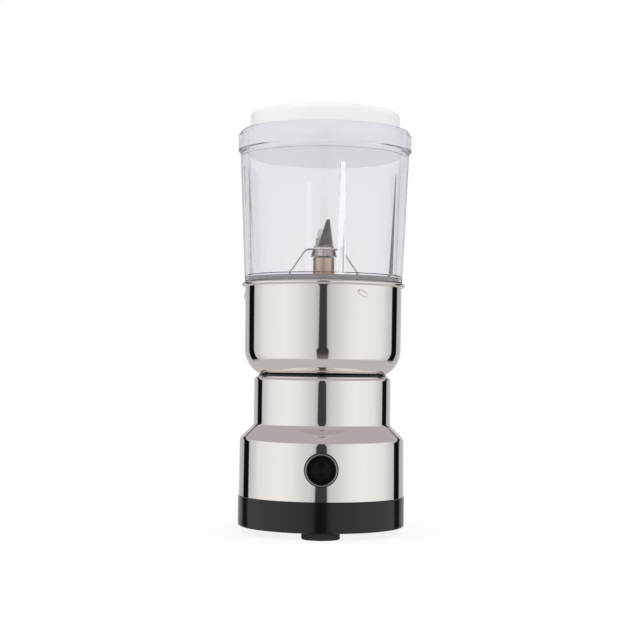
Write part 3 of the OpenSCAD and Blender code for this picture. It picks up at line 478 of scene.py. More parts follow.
def finish(name, group, light, dark, smooth, rough, scale, bump, values):
    """A Principled material whose colour, roughness and bump come from a shared group. The dark tint is
    given as it is or as a share of the light one."""
    material = bpy.data.materials.new(name)
    n, shader = opened(material)
    for key, value in values.items():
        shader[key].default_value = value
    if isinstance(dark, float):
        dark = tuple(part * dark for part in light)
    tints = {"Light": (*light, 1), "Dark": (*dark, 1)}
    look = n.group(group, Scale=scale, Smooth=smooth, Rough=rough, **tints)
    n.put(look["Color"], shader["Base Color"])
    n.put(look["Roughness"], shader["Roughness"])
    if bump:
        relief = n.node("Bump", Strength=bump[0], Distance=bump[1] * MM, Height=look["Height"])
        n.put(relief.outputs[0], shader["Normal"])
    return material


def let_light_through(material):
    """Shadow and diffuse rays pass the clear wall straight, so that what it holds is lit. The depth of
    the plastic takes a little more of the green than of the blue, which leaves a violet cast."""
    n, _ = opened(material)
    shader, output = n.tree.nodes["Principled BSDF"], n.tree.nodes["Material Output"]
    path = n.node("LightPath").outputs
    soft = n.maximum(path["Is Shadow Ray"], path["Is Diffuse Ray"])
    clear = n.node("BsdfTransparent").outputs[0]
    n.put(n.mix_shader(soft, shader.outputs[0], clear), output.inputs["Surface"])
    depth = n.node("VolumeAbsorption", Color=(0.68, 0.57, 0.8, 1), Density=26.0)
    n.put(depth.outputs[0], output.inputs["Volume"])


def rib_group(s):
    """Where the jar's inner ribs stand: 1 within their width, measured round the wall from the nearest
    of four ribs a quarter turn apart, and inside the line of the inner wall."""
    n, _, sink = node_group("Jar ribs", {"Rib": "Float"})
    x, y, z = n.xyz(n.place())
    across = n.across(x, y)
    turn = n.subtract(n.arctan2(x, n.multiply(y, -1.0)), math.radians(RIB_TURN))
    off = n.multiply(n.absolute(n.wrap(turn, math.pi / 4, -math.pi / 4)), across)
    foot, top = s.neck_top_z - s.neck_h + 4.7, s.jar_top_z - s.jar_rim_h - 2.6
    low, high = s.neck_r - 1.4, s.jar_top_r - s.jar_wall
    wall = n.spread(z, foot * MM, top * MM, low * MM, high * MM, clamp=False)
    inside = n.less_than(across, n.subtract(wall, 0.3 * MM))
    near = n.less_than(off, 0.55 * s.rib_low * MM)
    n.put(n.multiply(inside, near), sink["Rib"])
    return n.tree


def frost_ribs_and_paint_glow(material, group):
    """The ribs are paler and less polished than the wall: their roughness is added to the wall's own and
    their colour is mixed to white. A faint painted glow stands for the light that they scatter: a painted
    highlight, strongest on the front rib."""
    n, shader = opened(material)
    rib = n.group(group)["Rib"]
    n.put(n.multiply_add(rib, 0.3, source_of(shader["Roughness"])), shader["Roughness"])
    n.put(n.mix(rib, source_of(shader["Base Color"]), WHITE), shader["Base Color"])
    _, y, _ = n.xyz(n.place())
    # painted highlight: emission on the ribs, brighter towards the front
    glow = n.spread(y, -20 * MM, -35 * MM, 0.05, 0.16)
    n.put(n.grey(n.multiply(rib, glow)), shader["Emission Color"])
    shader["Emission Strength"].default_value = 1.0


def bezel_highlight_group(s):
    """Ring of the bezel's painted highlight: 1 on a narrow ring round the button's axis, at the front of the
    base.
    """
    n, _, sink = node_group("Bezel ridge", {"Ridge": "Float"})
    x, y, z = n.xyz(n.place())
    across = n.across(x, n.subtract(z, s.button_z * MM))
    off = n.absolute(n.subtract(across, (s.bezel_r - 1.1) * MM))
    front = n.less_than(y, (3.0 - s.bezel_front) * MM)
    n.put(n.multiply(n.spread(off, 0.42 * MM, 0.22 * MM), front), sink["Ridge"])
    return n.tree


def paint_bezel_highlight(material, group):
    """Painted highlight on the bezel: on the ring, a bright metal colour and metal share take the place of
    the black.
    """
    n, shader = opened(material)
    highlight_ring = n.group(group)["Ridge"]
    # painted highlight: bright metal colour on the black bezel's ring
    highlight_metal = (0.36, 0.34, 0.33, 1)
    n.put(n.mix(highlight_ring, source_of(shader["Base Color"]), highlight_metal), shader["Base Color"])
    n.put(highlight_ring, shader["Metallic"])


def cap_light_and_shade_group(s):
    """Painted light and shade on the cap's plastic: painted light makes it a little paler in its hollow and
    behind the jar's rim, and painted shade makes the plug's foot a little deeper."""
    n, _, sink = node_group("Cap tone", {"Tone": "Color"})
    x, y, z = n.xyz(n.place())
    within = n.less_than(n.across(x, y), (s.plug_r - 1.0) * MM)
    # painted light: the cap's hollow is made paler
    hollow = n.multiply(n.less_than(z, (s.cap_top_z - 1.5) * MM), within)
    rim = s.jar_top_z - s.jar_rim_h
    # painted shade: the plug's foot is made deeper
    foot = n.multiply(n.spread(z, (rim + 1.1) * MM, (rim + 0.6) * MM), n.subtract(1.0, hollow))
    # painted light: the band behind the jar's rim is made paler
    band = n.spread(z, (rim + 3.5) * MM, (rim + 6) * MM)
    band = n.multiply(band, n.less_than(z, s.jar_top_z * MM))
    painted_tone = n.multiply_add(n.maximum(hollow, band), 0.06, n.multiply_add(foot, -0.09, 0.94))
    n.put(n.grey(painted_tone), sink["Tone"])
    return n.tree


def paint_light_and_shade_on_cap(material, group):
    """The cap's colour is multiplied by its painted light and shade."""
    n, shader = opened(material)
    painted_tone = n.group(group)["Tone"]
    n.put(n.mix(1.0, source_of(shader["Base Color"]), painted_tone, "MULTIPLY"), shader["Base Color"])


def make_finishes(colours):
    """Every finish of the object, by the record's slot names, and ground_steel for the lower blade. A row
    gives the name, pattern, light and dark tint, least and most roughness, scale of the pattern,
    strength and depth of the bump in millimetres, and values of the shader."""
    grain = surface_group("Moulded grain", moulded_grain)
    lines = surface_group("Turned lines", turned_lines)
    layers = surface_group("Stacked layers", stacked_layers)
    c = SimpleNamespace(**{key: tuple(getattr(colours, key)) for key in colours.__annotations__})
    metal, dull = {"Metallic": 1.0}, {"Metallic": 0.1}
    clear = {"Transmission Weight": 1.0, "IOR": 1.49}
    milky = {
        "IOR": 1.48, "Subsurface Weight": 0.8,
        "Subsurface Radius": (1.0, 0.96, 0.94), "Subsurface Scale": 0.012,
    }
    rows = [
        ("polished_steel", lines, c.steel, 0.98, 0.03, 0.05, 2600, (0.012, 0.02), metal),
        ("black_plastic", grain, c.black, 0.7, 0.13, 0.19, 1800, (0.05, 0.1), {"IOR": 1.46}),
        ("button_black", grain, c.button, 0.6, 0.16, 0.24, 2500, (0.03, 0.05), {"IOR": 1.22}),
        ("frame_plastic", grain, (0.05, 0.05, 0.052), (0.03, 0.03, 0.032), 0.4, 0.6, 1500, (0.2, 0.1), {}),
        ("foot_rubber", grain, c.rubber, 0.6, 0.55, 0.8, 2200, (0.35, 0.1), {}),
        ("gasket_silicone", grain, c.gasket, 0.9, 0.35, 0.5, 1500, (0.08, 0.1), {}),
        ("clear_plastic", grain, c.jar, 0.985, 0.0, 0.03, 300, None, clear),
        ("white_plastic", grain, c.cap, 0.97, 0.28, 0.42, 1400, (0.04, 0.1), milky),
        ("blade_steel", grain, c.blade, 0.85, 0.16, 0.26, 3000, (0.05, 0.03), metal),
        ("ground_steel", grain, c.ground, (0.88, 0.86, 0.86), 0.4, 0.55, 3000, (0.05, 0.03), dull),
        ("bronze", lines, c.bronze, 0.88, 0.32, 0.46, 3000, (0.1, 0.03), metal),
        ("plain_steel", lines, (0.62, 0.61, 0.6), (0.45, 0.44, 0.43), 0.25, 0.45, 2500, (0.1, 0.03), metal),
        (
            "coupling_nylon", grain, (0.05, 0.05, 0.055), (0.03, 0.03, 0.032),
            0.35, 0.55, 1500, (0.15, 0.1), {},
        ),
        ("lamination_steel", layers, (0.42, 0.42, 0.43), (0.2, 0.2, 0.21), 0.35, 0.6, 300, (0.4, 0.1), metal),
        ("copper", layers, (0.75, 0.34, 0.17), (0.42, 0.16, 0.07), 0.22, 0.4, 400, (0.6, 0.2), metal),
        ("phenolic", grain, (0.3, 0.15, 0.06), (0.16, 0.075, 0.03), 0.4, 0.6, 900, (0.1, 0.1), {}),
        ("carbon", grain, (0.035, 0.035, 0.036), (0.015, 0.015, 0.016), 0.45, 0.7, 3000, (0.3, 0.1), {}),
        ("lead_insulation", grain, (0.2, 0.2, 0.21), (0.12, 0.12, 0.13), 0.4, 0.6, 1200, (0.1, 0.1), {}),
    ]
    made = {row[0]: finish(*row) for row in rows}
    let_light_through(made["clear_plastic"])
    return made


FINISHES = {}


# Operators

class GRINDER_OT_finishes(Operator):
    """Make the finishes and give each frame node the one its slot names"""

    bl_idname = "grinder.finishes"
    bl_label = "Finishes"

    def execute(self, context):
        s = in_mm(context)
        FINISHES.update(make_finishes(context.scene.grinder_colours))
        frost_ribs_and_paint_glow(FINISHES["clear_plastic"], rib_group(s))
        paint_light_and_shade_on_cap(FINISHES["white_plastic"], cap_light_and_shade_group(s))
        paint_bezel_highlight(FINISHES["button_black"], bezel_highlight_group(s))
        for row in frame["record"]["subparts"]:
            mesh = frame["nodes"][row["node"]].data
            mesh.materials.clear()
            mesh.materials.append(FINISHES[row["material_slot"]])
        return {"FINISHED"}


def shell_with_hole(s):
    """Turned sheet of the base shell. Its wall radius falls evenly from foot to shoulder. A square of
    the wall round the button gives way to a patch: straight lines from the square's edge points to
    the round hole, on the outer and the inner face, joined by the hole's edge."""
    half = 9
    rings = 9
    step = TAU * s.shell_r / LINES

    def wall(z):
        return s.shell_r + (s.shoulder_r - s.shell_r) * (z - s.shell_z) / (s.shoulder_z - s.shell_z)

    low, high = s.button_z - half * step, s.button_z + half * step
    corners = [
        (s.shell_r, s.shell_z, 0), (wall(low), low, 0), (wall(high), high, 0),
        (s.shoulder_r, s.shoulder_z, 4.5), (s.upper_r, s.upper_z, 3.0),
        (s.upper_r, s.shell_top_z, 3.0), (s.flange_r, s.shell_top_z, 0),
    ]
    path = fillets(corners, step)
    count = len(path)
    grid = lathe(sheet_outline(path, s.sheet), round_turns(LINES))
    start = int(np.argmin(np.abs(path[:, 1] - low)))
    keep = np.ones((LINES, 2 * count), bool)
    side = np.arange(2 * half)
    keep[np.ix_(side - half, start + side)] = False
    keep[np.ix_(side - half, 2 * count - 2 - start - side)] = False
    faces = faces_of(LINES, 2 * count)[keep.ravel()]
    columns = np.concatenate([side - half, 0 * side + half, half - side, 0 * side - half])
    rows = start + np.concatenate([0 * side, side, 0 * side + 2 * half, 2 * half - side])
    surfaces = [(grid, faces)]
    share = np.linspace(0, 1, rings)[1:, None]
    rims = []
    for inner in (False, True):
        edge = grid[columns, 2 * count - 1 - rows if inner else rows]
        x, z = edge[:, 0], edge[:, 2] - s.button_z
        phi = np.arctan2(z, x)
        x = x + (s.hole_r * np.cos(phi) - x) * share
        z = z + (s.hole_r * np.sin(phi) - z) * share + s.button_z
        y = -np.sqrt((wall(z) - (s.sheet if inner else 0)) ** 2 - x**2)
        patch = np.concatenate([edge[None], np.stack([x, y, z], -1)])
        surfaces.append((patch, faces_of(rings, len(edge), False)))
        rims.append(patch[-1])
    surfaces.append((np.stack(rims), faces_of(2, len(rims[0]), False)))
    return surfaces


class GRINDER_OT_base_shell(Operator):
    """Turn the polished steel shell of the base, with its button hole"""

    bl_idname = "grinder.base_shell"
    bl_label = "Base shell"

    def execute(self, context):
        s = in_mm(context)
        piece("steel_shell", shell_with_hole(s), "base", "polished_steel", ["base_shell"])
        return {"FINISHED"}


def bezel_surface(s):
    """Ring with a rounded front on the button's axis, and its barrel. The flange's back edge follows
    the shell: at radius r and turn a round the button it stands at sqrt(R squared - (r sin a) squared)."""
    opening, barrel = s.button_r + 0.3, s.hole_r - 0.15
    front, back = s.bezel_front, s.bezel_back
    lip, level, round_end = front - 3.8, front - 2.4, front - 1.5
    corners = [
        (opening, lip, 0.2), (opening, front, 0.7), (s.bezel_r, front, 1.5), (s.bezel_r, level, 0),
        (barrel, level, 0), (barrel, back, 0.3), (opening + 0.5, back, 0.3), (opening + 0.5, lip, 0.2),
    ]
    profile = fillets(corners, 0.6, closed=True)
    turns = round_turns(BUTTON_LINES)
    grid = lathe(profile, turns)
    r, z = profile.T
    fall = (s.shell_r - s.shoulder_r) * (s.button_z - s.shell_z) / (s.shoulder_z - s.shell_z)
    seat = np.sqrt((s.shell_r - fall) ** 2 - (r * np.sin(turns)[:, None]) ** 2) + 0.05
    flange = (r > s.hole_r - 0.2) & (z >= level - 0.01)
    run = np.where(flange, np.clip((round_end - z) / (round_end - level), 0, 1), 0)
    grid[..., 2] += run * (seat - level)
    return facing_front((grid, faces_of(BUTTON_LINES, len(profile))), s.button_z)


def button_surface(s):
    """Turned push button on the button's axis: a raised lip, two steps down to a dished middle, and
    the stem behind."""
    r, front = s.button_r, s.button_front
    stem = 2.2
    corners = [
        (0, front - 1.9, 0), (r - 3.8, front - 1.35, 0.25), (r - 3.5, front - 0.95, 0.2),
        (r - 2.1, front - 0.55, 0.2), (r - 1.7, front, 0.25), (r, front, 0.45),
        (r, front - 3.2, 0), (r + 0.2, front - 3.2, 0.1), (r + 0.2, front - 5.8, 0.2),
        (stem, front - 5.8, 0.2), (stem, s.button_back, 0.3), (0, s.button_back, 0),
    ]
    return facing_front(turned(fillets(corners, 0.5), False, BUTTON_LINES), s.button_z)


def spring_surface(s):
    """Wire of the return spring on the button's axis. Its middle line is a helix of four turns from the
    back to the front; round it the wire is a circle in the plane across the line, closed at both ends."""
    w, coils = s.spring_wire / 2, 4
    r, low, high = s.spring_r - w, s.spring_back + w, s.spring_front - w
    a = np.linspace(0, coils * TAU, 48 * coils + 1)
    out = np.stack([np.cos(a), np.sin(a), 0 * a], -1)
    along = np.stack([-r * np.sin(a), r * np.cos(a), 0 * a + (high - low) / (coils * TAU)], -1)
    across = np.cross(units(along), out)
    line = out * r + np.stack([0 * a, 0 * a, np.linspace(low, high, len(a))], -1)
    line, out, across = (np.vstack([v[:1], v, v[-1:]])[:, None] for v in (line, out, across))
    wide = np.pad(np.full(len(a), w), 1)[:, None, None]
    b = round_turns(16)[:, None]
    grid = line + wide * (np.cos(b) * out + np.sin(b) * across)
    return facing_front((grid, faces_of(len(wide), len(b), False)), s.button_z)


class GRINDER_OT_push_button(Operator):
    """Turn the push button and its bezel on the front of the base, and wind its spring"""

    bl_idname = "grinder.push_button"
    bl_label = "Push button"

    def execute(self, context):
        s = in_mm(context)
        piece("bezel_ring", [bezel_surface(s)], "base", "button_black", ["button_bezel"])
        piece("button_dish", [button_surface(s)], "button", "button_black", ["push_button"])
        spring = piece("coil_spring", [spring_surface(s)], "base", "plain_steel", ["button_spring"])
        -s.spring_back * MM
        s.button_z * MM
        1 - s.button_travel / (s.spring_front - s.spring_back)
        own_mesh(spring)
        return {"FINISHED"}


def bowl_surface(s):
    """Turned sheet of the bowl: raised floor, flat foot, a wide curve up to the slightly flaring wall,
    rolled rim and neck."""
    low, raised, rim_top = s.bowl_z, s.bowl_z + s.dome_h, s.neck_top_z - s.neck_h
    knee, rim_low = low + (s.bowl_low_r - s.bowl_foot_r) * math.tan(math.radians(30)), rim_top - s.rim_h
    corners = [
        (7.0, raised, 0), (24.0, raised, 2.5), (31.0, low, 1.5), (s.bowl_foot_r, low, 1.0),
        (s.bowl_low_r, knee, s.bowl_corner), (s.bowl_r, rim_low, 0.5), (s.rim_r, rim_low, 1.2),
        (s.rim_r, rim_top, 1.2), (s.neck_r, rim_top, 0.4), (s.neck_r, s.neck_top_z, 0),
    ]
    return turned(sheet_outline(fillets(corners, 1.4), s.sheet))


def pill_surface(turn, level, long, wide, soft, near, far):
    """Oblong bar through the bowl's wall, slanted, with its middle line pointing outwards at a turn from
    the front. Rings of its outline run from the middle line over a rounded shoulder to the far end's
    edge and back along the bar; the near end closes on the middle line."""
    slant = math.radians(-28)
    bend = np.linspace(0, math.pi / 2, 9)
    inset = np.concatenate([[wide / 2, wide * 0.42], soft * (1 - np.sin(bend)), [0, wide / 2]])
    out = np.concatenate([[far, far], far - 0.6 * soft * (1 - np.cos(bend)), [near, near]])
    count = 64
    a = round_turns(count) + TAU / count / 2
    r = (wide / 2 - inset)[:, None]
    u = np.sign(np.cos(a)) * (long - wide) / 2 + r * np.cos(a)
    v = r * np.sin(a)
    u, v = u * math.cos(slant) - v * math.sin(slant), u * math.sin(slant) + v * math.cos(slant)
    w = out[:, None] + 0 * u
    x, y = w * math.sin(turn) + u * math.cos(turn), u * math.sin(turn) - w * math.cos(turn)
    return np.stack([x, y, level + v], -1), faces_of(len(inset), count, False)


def lug_turns():
    return np.radians(LUG_TURN + 120 * np.arange(3))


def lug_surfaces(s):
    """Three lock lugs: an oblong shank through the wall and a softly domed head outside."""
    level = s.neck_top_z - s.neck_h - LUG_DROP
    made = []
    for turn in lug_turns():
        made.append(pill_surface(turn, level, 5.2, 2.6, 0.3, s.neck_r - 3.3, s.bowl_r + 0.1))
        made.append(pill_surface(turn, level, 7.2, 3.2, 1.0, s.bowl_r - 0.35, s.bowl_r + 0.6))
    return made


class GRINDER_OT_bowl(Operator):
    """Turn the polished steel bowl and set its three lock lugs"""

    bl_idname = "grinder.bowl"
    bl_label = "Grinding bowl"

    def execute(self, context):
        s = in_mm(context)
        piece("steel_bowl", [bowl_surface(s)], "bowl", "polished_steel", ["grinding_bowl"])
        piece("bowl_lugs", lug_surfaces(s), "bowl", "polished_steel", ["lock_lugs"])
        return {"FINISHED"}


def tower_surface():
    """Turned bearing tower: stem, foot flange, waist and a tapering neck with a chamfered top."""
    low, high = TOWER_LOW[2], TOWER_HIGH[2]
    foot = high - 53.4
    bore, stem, flange, neck = 4.92, 6.9, 13.0, 6.7
    corners = [
        (bore, low, 0), (stem, low, 0.3), (stem, foot, 0), (flange, foot, 0), (flange, foot + 2.6, 0.8),
        (9.0, foot + 5, 1.5), (7.7, foot + 12, 4), (neck, foot + 30, 20), (neck, high, 0.5),
        (bore, high, 0.2),
    ]
    return turned(fillets(corners, 1.2, closed=True), True, 128)


class GRINDER_OT_tower(Operator):
    """Turn the bearing tower that carries the blades"""

    bl_idname = "grinder.tower"
    bl_label = "Bearing tower"

    def execute(self, context):
        piece("turned_tower", [tower_surface()], "bowl", "bronze", ["bearing_tower"])
        return {"FINISHED"}


def wing_surface(line, left, right, thick, bevel, edge):
    """Blade wing: a six-sided section carried along a bent line of (distance out, level). Its flats lie
    the sheet's thickness apart, and both fall to an edge at a share of it over a ground bevel. Left and
    right give the outline at each point of the line, and the wing closes where it narrows to nothing."""
    run = units(np.gradient(line, axis=0))
    normal = np.stack([-run[:, 1], run[:, 0]], -1)
    bevel = np.minimum(bevel, 0.45 * (right - left))
    across = np.stack([left, left + bevel, right - bevel, right, right - bevel, left + bevel], -1)
    lift = thick * np.array([edge, 0, 0, edge, 1, 1])
    out = line[:, :1] + normal[:, :1] * lift
    level = line[:, 1:] + normal[:, 1:] * lift
    return np.stack([across, -out, level], -1), faces_of(len(line), 6, False)


def quarter_turned(surface, quarters):
    """A surface turned round the upright axis by quarter turns."""
    grid, faces = surface
    x, y, z = np.moveaxis(grid, -1, 0)
    for _ in range(quarters):
        x, y = -y, x
    return np.stack([x, y, z], -1), faces


def hub_surface(outer, low, high):
    """Turned washer round the blade shaft with softly broken edges."""
    bore = 3.02
    profile = [(bore, low, 0.1), (outer, low, 0.2), (outer, high, 0.2), (bore, high, 0.1)]
    return turned(fillets(profile, 0.8, closed=True), True, 96)


def lower_blade_surfaces(s):
    """Hub and two opposite wings, ground thin from above, that curve down and narrow to a rounded point."""
    thin, bend = 0.65, 11.3
    top, reach = LOWER_HIGH[2], LOWER_HIGH[0]
    low, tip = top - thin, reach - 0.4
    fall = (reach - bend) * math.tan(math.radians(56))
    line = fillets([(5.0, low, 0), (bend, low, 5.0), (tip, low - fall, 0)], 0.8)
    left = np.interp(line[:, 0], [0, bend, reach - 5, tip], [-6, -5.5, -4.2, 0.5])
    right = np.interp(line[:, 0], [0, bend, reach - 6, tip], [6, 5.5, 4, 0.5])
    wing = wing_surface(line, left, right, thin, 1.6, 0.1)
    return [hub_surface(7.5, top - s.blade, top), quarter_turned(wing, 1), quarter_turned(wing, 3)]


def upper_blade_surfaces(s):
    """Hub and two leaf-shaped wings: the front one stands nearly upright, the rear one leans back."""
    low, bend = UPPER_LOW[2], 7.4
    front = UPPER_HIGH[2] - low
    steep, flat = 78, 50
    rear = front * math.sin(math.radians(flat)) / math.sin(math.radians(steep))
    surfaces = [hub_surface(6.4, low, low + s.blade)]
    for rise, lift, quarters in ((front, steep, 0), (rear, flat, 2)):
        tip = bend + rise / math.tan(math.radians(lift))
        line = fillets([(3.6, low, 0), (bend, low, 2.0), (tip, low + rise, 0)], 0.3)
        height = line[:, 1] - low
        left = np.interp(height, [0, 1.7, rise - 0.3, rise], [-4.9, -3.6, 1.3, 2.4])
        right = np.interp(height, [0, 2, rise - 0.3, rise], [5.9, 5.7, 3.7, 2.9])
        right[-1] = left[-1]
        surfaces.append(quarter_turned(wing_surface(line, left, right, s.blade, 0.35, 0.5), quarters))
    return surfaces


class GRINDER_OT_blades(Operator):
    """Form the drooping lower blade and the upright upper blade, with ground edges"""

    bl_idname = "grinder.blades"
    bl_label = "Blades"

    def execute(self, context):
        s = in_mm(context)
        lower, upper = lower_blade_surfaces(s), upper_blade_surfaces(s)
        piece("ground_lower_blade", lower, "blades", "blade_steel", ["lower_blade"], "ground_steel", sharp=12)
        piece("ground_upper_blade", upper, "blades", "blade_steel", ["upper_blade"], sharp=12)
        return {"FINISHED"}


def jar_profile(s):
    """Closed profile of the jar from the inner skirt round its lower edge, the seal's groove, the
    outer wall, the thick rim and the inner wall back to the skirt, with rows at the lug slots."""
    rim_top = s.neck_top_z - s.neck_h
    skirt_in, skirt_out, groove = s.neck_r - 3.8, s.neck_r - 1.9, s.neck_r + 1.1
    slot_low, slot_top = (rim_top - LUG_DROP + side * SLOT_HALF for side in (-1, 1))
    rim_low = s.jar_top_z - s.jar_rim_h
    ledge, seal, foot = rim_low - 2.6, rim_top + 3.2, rim_top + 0.2
    inner, mouth = s.jar_top_r - s.jar_wall, s.jar_top_r - s.jar_wall + 1
    corners = [
        (skirt_in, slot_top, 0), (skirt_in, slot_low, 0), (skirt_in, s.skirt_z, 0.4),
        (skirt_out, s.skirt_z, 0.4), (skirt_out, slot_low, 0), (skirt_out, slot_top, 0),
        (skirt_out, seal, 0.3), (groove, seal, 0.3), (groove, foot, 0.3), (s.jar_low_r, foot, 0.6),
        (s.jar_top_r, rim_low, 0.5), (s.jar_rim_r, rim_low + 0.6, 0.5), (s.jar_rim_r, s.jar_top_z, 4.2),
        (mouth, s.jar_top_z, 0.4), (mouth, ledge, 0.1), (inner, ledge, 0.1),
        (skirt_out + 0.5, rim_top + 4.7, 0.1), (skirt_in, rim_top + 4.5, 0.15),
    ]
    return fillets(corners, 1.4, closed=True)


def jar_turns(ribs, slots, half, lock):
    """Turns of the jar's lines: even ones, close ones over the ribs and those of the slots' edges."""
    near = np.radians(3.8) * np.linspace(-1, 1, 31)
    edges = [slots - half, slots + half, slots - half - lock]
    turns = np.concatenate([round_turns(LINES), (ribs[:, None] + near).ravel(), *edges]) % TAU
    return np.unique(np.round(turns, 6))


def raise_ribs(s, grid, profile, turns, ribs):
    """Each rib stands in from the inner wall to a straight line from its foot to its top, by a share of
    (1 - a cubed) to the power 0.35, where a is the distance from its middle over half its width."""
    r, z = profile.T
    foot, top = s.neck_top_z - s.neck_h + 3.8, s.jar_top_z - s.jar_rim_h - 12
    end, wall, foot_r = top + 1.5, s.jar_top_r - s.jar_wall, 46.0
    line = np.interp(z, [foot, top, end], [s.neck_r - 1.4 - s.rib_deep, wall - 0.8, wall + 0.1])
    depth = np.where((r < wall + 0.01) & (z >= foot) & (z < end), np.clip(r - line, 0, None), 0)
    off = np.abs((turns[:, None] - ribs + math.pi) % TAU - math.pi).min(axis=1)
    wide = np.interp(z, [foot, top], [s.rib_low, s.rib_top])
    a = np.clip(off[:, None] * foot_r / (wide / 2), 0, 1)
    grid[..., :2] *= (1 - (1 - a**3) ** 0.35 * depth / r)[..., None]


def jar_surface(s):
    """Turned jar with four ribs on its inner wall. In its skirt three slots are left out, straight in and
    then round by the locking turn, and their sides and ends are closed between the skirt's faces."""
    profile = jar_profile(s)
    ribs, slots = np.radians(RIB_TURN + 90 * np.arange(4)), lug_turns()
    half, lock = math.radians(4.0), math.radians(LOCK_TURN)
    turns = jar_turns(ribs, slots, half, lock)
    grid = lathe(profile, turns)
    raise_ribs(s, grid, profile, turns, ribs)
    r, z = profile.T
    count, rows = len(turns), len(profile)
    lug, between = s.neck_top_z - s.neck_h - LUG_DROP, s.neck_r - 2.6
    inner_top, outer_top = (
        int(np.argmin(np.abs(z - (lug + SLOT_HALF)) + 100 * other)) for other in (r > between, r < between)
    )
    band = (outer_top - inner_top - 1) // 2
    inner, outer = inner_top + np.arange(band + 1), outer_top - np.arange(band + 1)
    slot_row = int(np.argmin(np.abs(z[inner] - (lug - SLOT_HALF))))
    after = np.roll(turns, -1)
    middle = (turns + after + TAU * (after < turns)) / 2
    offset = (middle[:, None] - slots + math.pi) % TAU - math.pi
    gone = np.zeros((count, band), bool)
    gone[:, :slot_row] = ((offset < half) & (offset > -half - lock)).any(axis=1)[:, None]
    gone[:, slot_row:] = (np.abs(offset) < half).any(axis=1)[:, None]
    keep = np.ones((count, rows), bool)
    keep[:, inner[:-1]] = ~gone
    keep[:, outer[1:]] = ~gone
    keep[:, inner[-1] : outer[-1]] = ~gone[:, -1:]
    index = np.arange(count * rows).reshape(count, rows)
    i, k = np.nonzero(gone != np.roll(gone, 1, axis=0))
    sides = [index[i, inner[k]], index[i, inner[k + 1]], index[i, outer[k + 1]], index[i, outer[k]]]
    capped = np.pad(gone, ((0, 0), (1, 0)))
    i, k = np.nonzero(capped[:, 1:] != capped[:, :-1])
    j = (i + 1) % count
    ends = [index[i, inner[k]], index[j, inner[k]], index[j, outer[k]], index[i, outer[k]]]
    faces = faces_of(count, rows)[keep.ravel()]
    return grid, np.concatenate([faces, np.stack(sides, -1), np.stack(ends, -1)])


class GRINDER_OT_jar(Operator):
    """Turn the clear jar with its inner ribs and the slots in its skirt"""

    bl_idname = "grinder.jar"
    bl_label = "Clear jar"

    def execute(self, context):
        s = in_mm(context)
        piece("jar_body", [jar_surface(s)], "jar", "clear_plastic", ["clear_jar"])
        return {"FINISHED"}


def cap_surface(s):
    """Turned cap: a flat top with a soft edge, a step on the jar's rim and a hollow plug."""
    wall, top, foot = s.cap_wall, s.cap_top_z, s.cap_low_z
    step, face, bore = s.jar_top_z - 0.4, s.plug_r - 1.7, s.plug_r - wall
    corners = [
        (0, top, 0), (face - 0.6, top, 1.3), (face, step, 0.5), (s.plug_r, step, 0.5),
        (s.plug_r, foot, 1.2), (bore, foot, 0.6), (bore, step - wall, 0.8),
        (face - wall, step - wall, 0.8), (face - wall - 0.6, top - wall, 1.2), (0, top - wall, 0),
    ]
    return turned(fillets(corners, 1.6), False)


class GRINDER_OT_cap(Operator):
    """Turn the white plug-in cap"""

    bl_idname = "grinder.cap"
    bl_label = "Cap"

    def execute(self, context):
        s = in_mm(context)
        piece("white_cap", [cap_surface(s)], "cap", "white_plastic", ["jar_cap"])
        return {"FINISHED"}


def studio_world(studio):
    """White to the camera and through clear walls, even light on matt surfaces. Whatever a mirror
    reflects is a ring of soft boxes, brightest at the sides, with a dark gap in front that widens
    downwards and two dark flags behind the sides, a grey table whose edge rises towards the back, and
    a grey ceiling."""
    world = bpy.data.worlds.new("studio")
    world.use_nodes = True
    n = Nodes(world.node_tree)
    x, y, z = n.xyz(n.node("TexCoord").outputs["Generated"])
    turn = n.absolute(n.arctan2(x, n.multiply(y, -1.0)))
    bearing, rise = n.multiply(turn, DEGREES), n.multiply(n.arcsine(z), DEGREES)
    boxes = [
        (0, 0.42), (9, 0.57), (14, 0.67), (24, 0.75), (40, 0.89), (58, 0.96), (80, 0.92), (98, 0.86),
        (112, 0.66), (138, 0.46), (150, 0.52), (180, 0.68),
    ]
    flags = [(0, 1.0), (120.6, 1.0), (121.8, 0.012), (138.4, 0.008), (139.6, 1.0)]
    lean = n.multiply(n.maximum(n.subtract(rise, 5.0), 0.0), 2.0)
    ring = n.mix(1.0, n.ramp(bearing, boxes), n.ramp(n.subtract(bearing, lean), flags), "MULTIPLY")
    drop = n.minimum(n.maximum(n.multiply(rise, -0.45), -1.4), 2.7)
    slit = n.spread(n.subtract(bearing, drop), 5.5, 7.1)
    gap = n.mix(n.spread(z, -0.25, -0.62), (0.052, 0.046, 0.05, 1), (0.2, 0.17, 0.16, 1))
    ceiling, table = (0.49, 0.45, 0.465, 1), (0.55, 0.53, 0.53, 1)
    over = n.mix(n.spread(z, 0.26, 0.36), n.mix(slit, gap, ring), ceiling)
    edge = n.multiply(n.cosine(n.divide(turn, 2.2)), 0.656)
    studio_view = n.mix(n.spread(n.add(z, edge), 0.04, -0.04), over, table)
    path = n.node("LightPath").outputs
    even = n.mix(n.seen(path), (studio.dome, studio.dome, studio.dome, 1), WHITE)
    share = n.subtract(n.mirrored(path), path["Is Diffuse Ray"])
    n.put(n.mix(share, even, studio_view), n.tree.nodes["Background"].inputs["Color"])
    return world


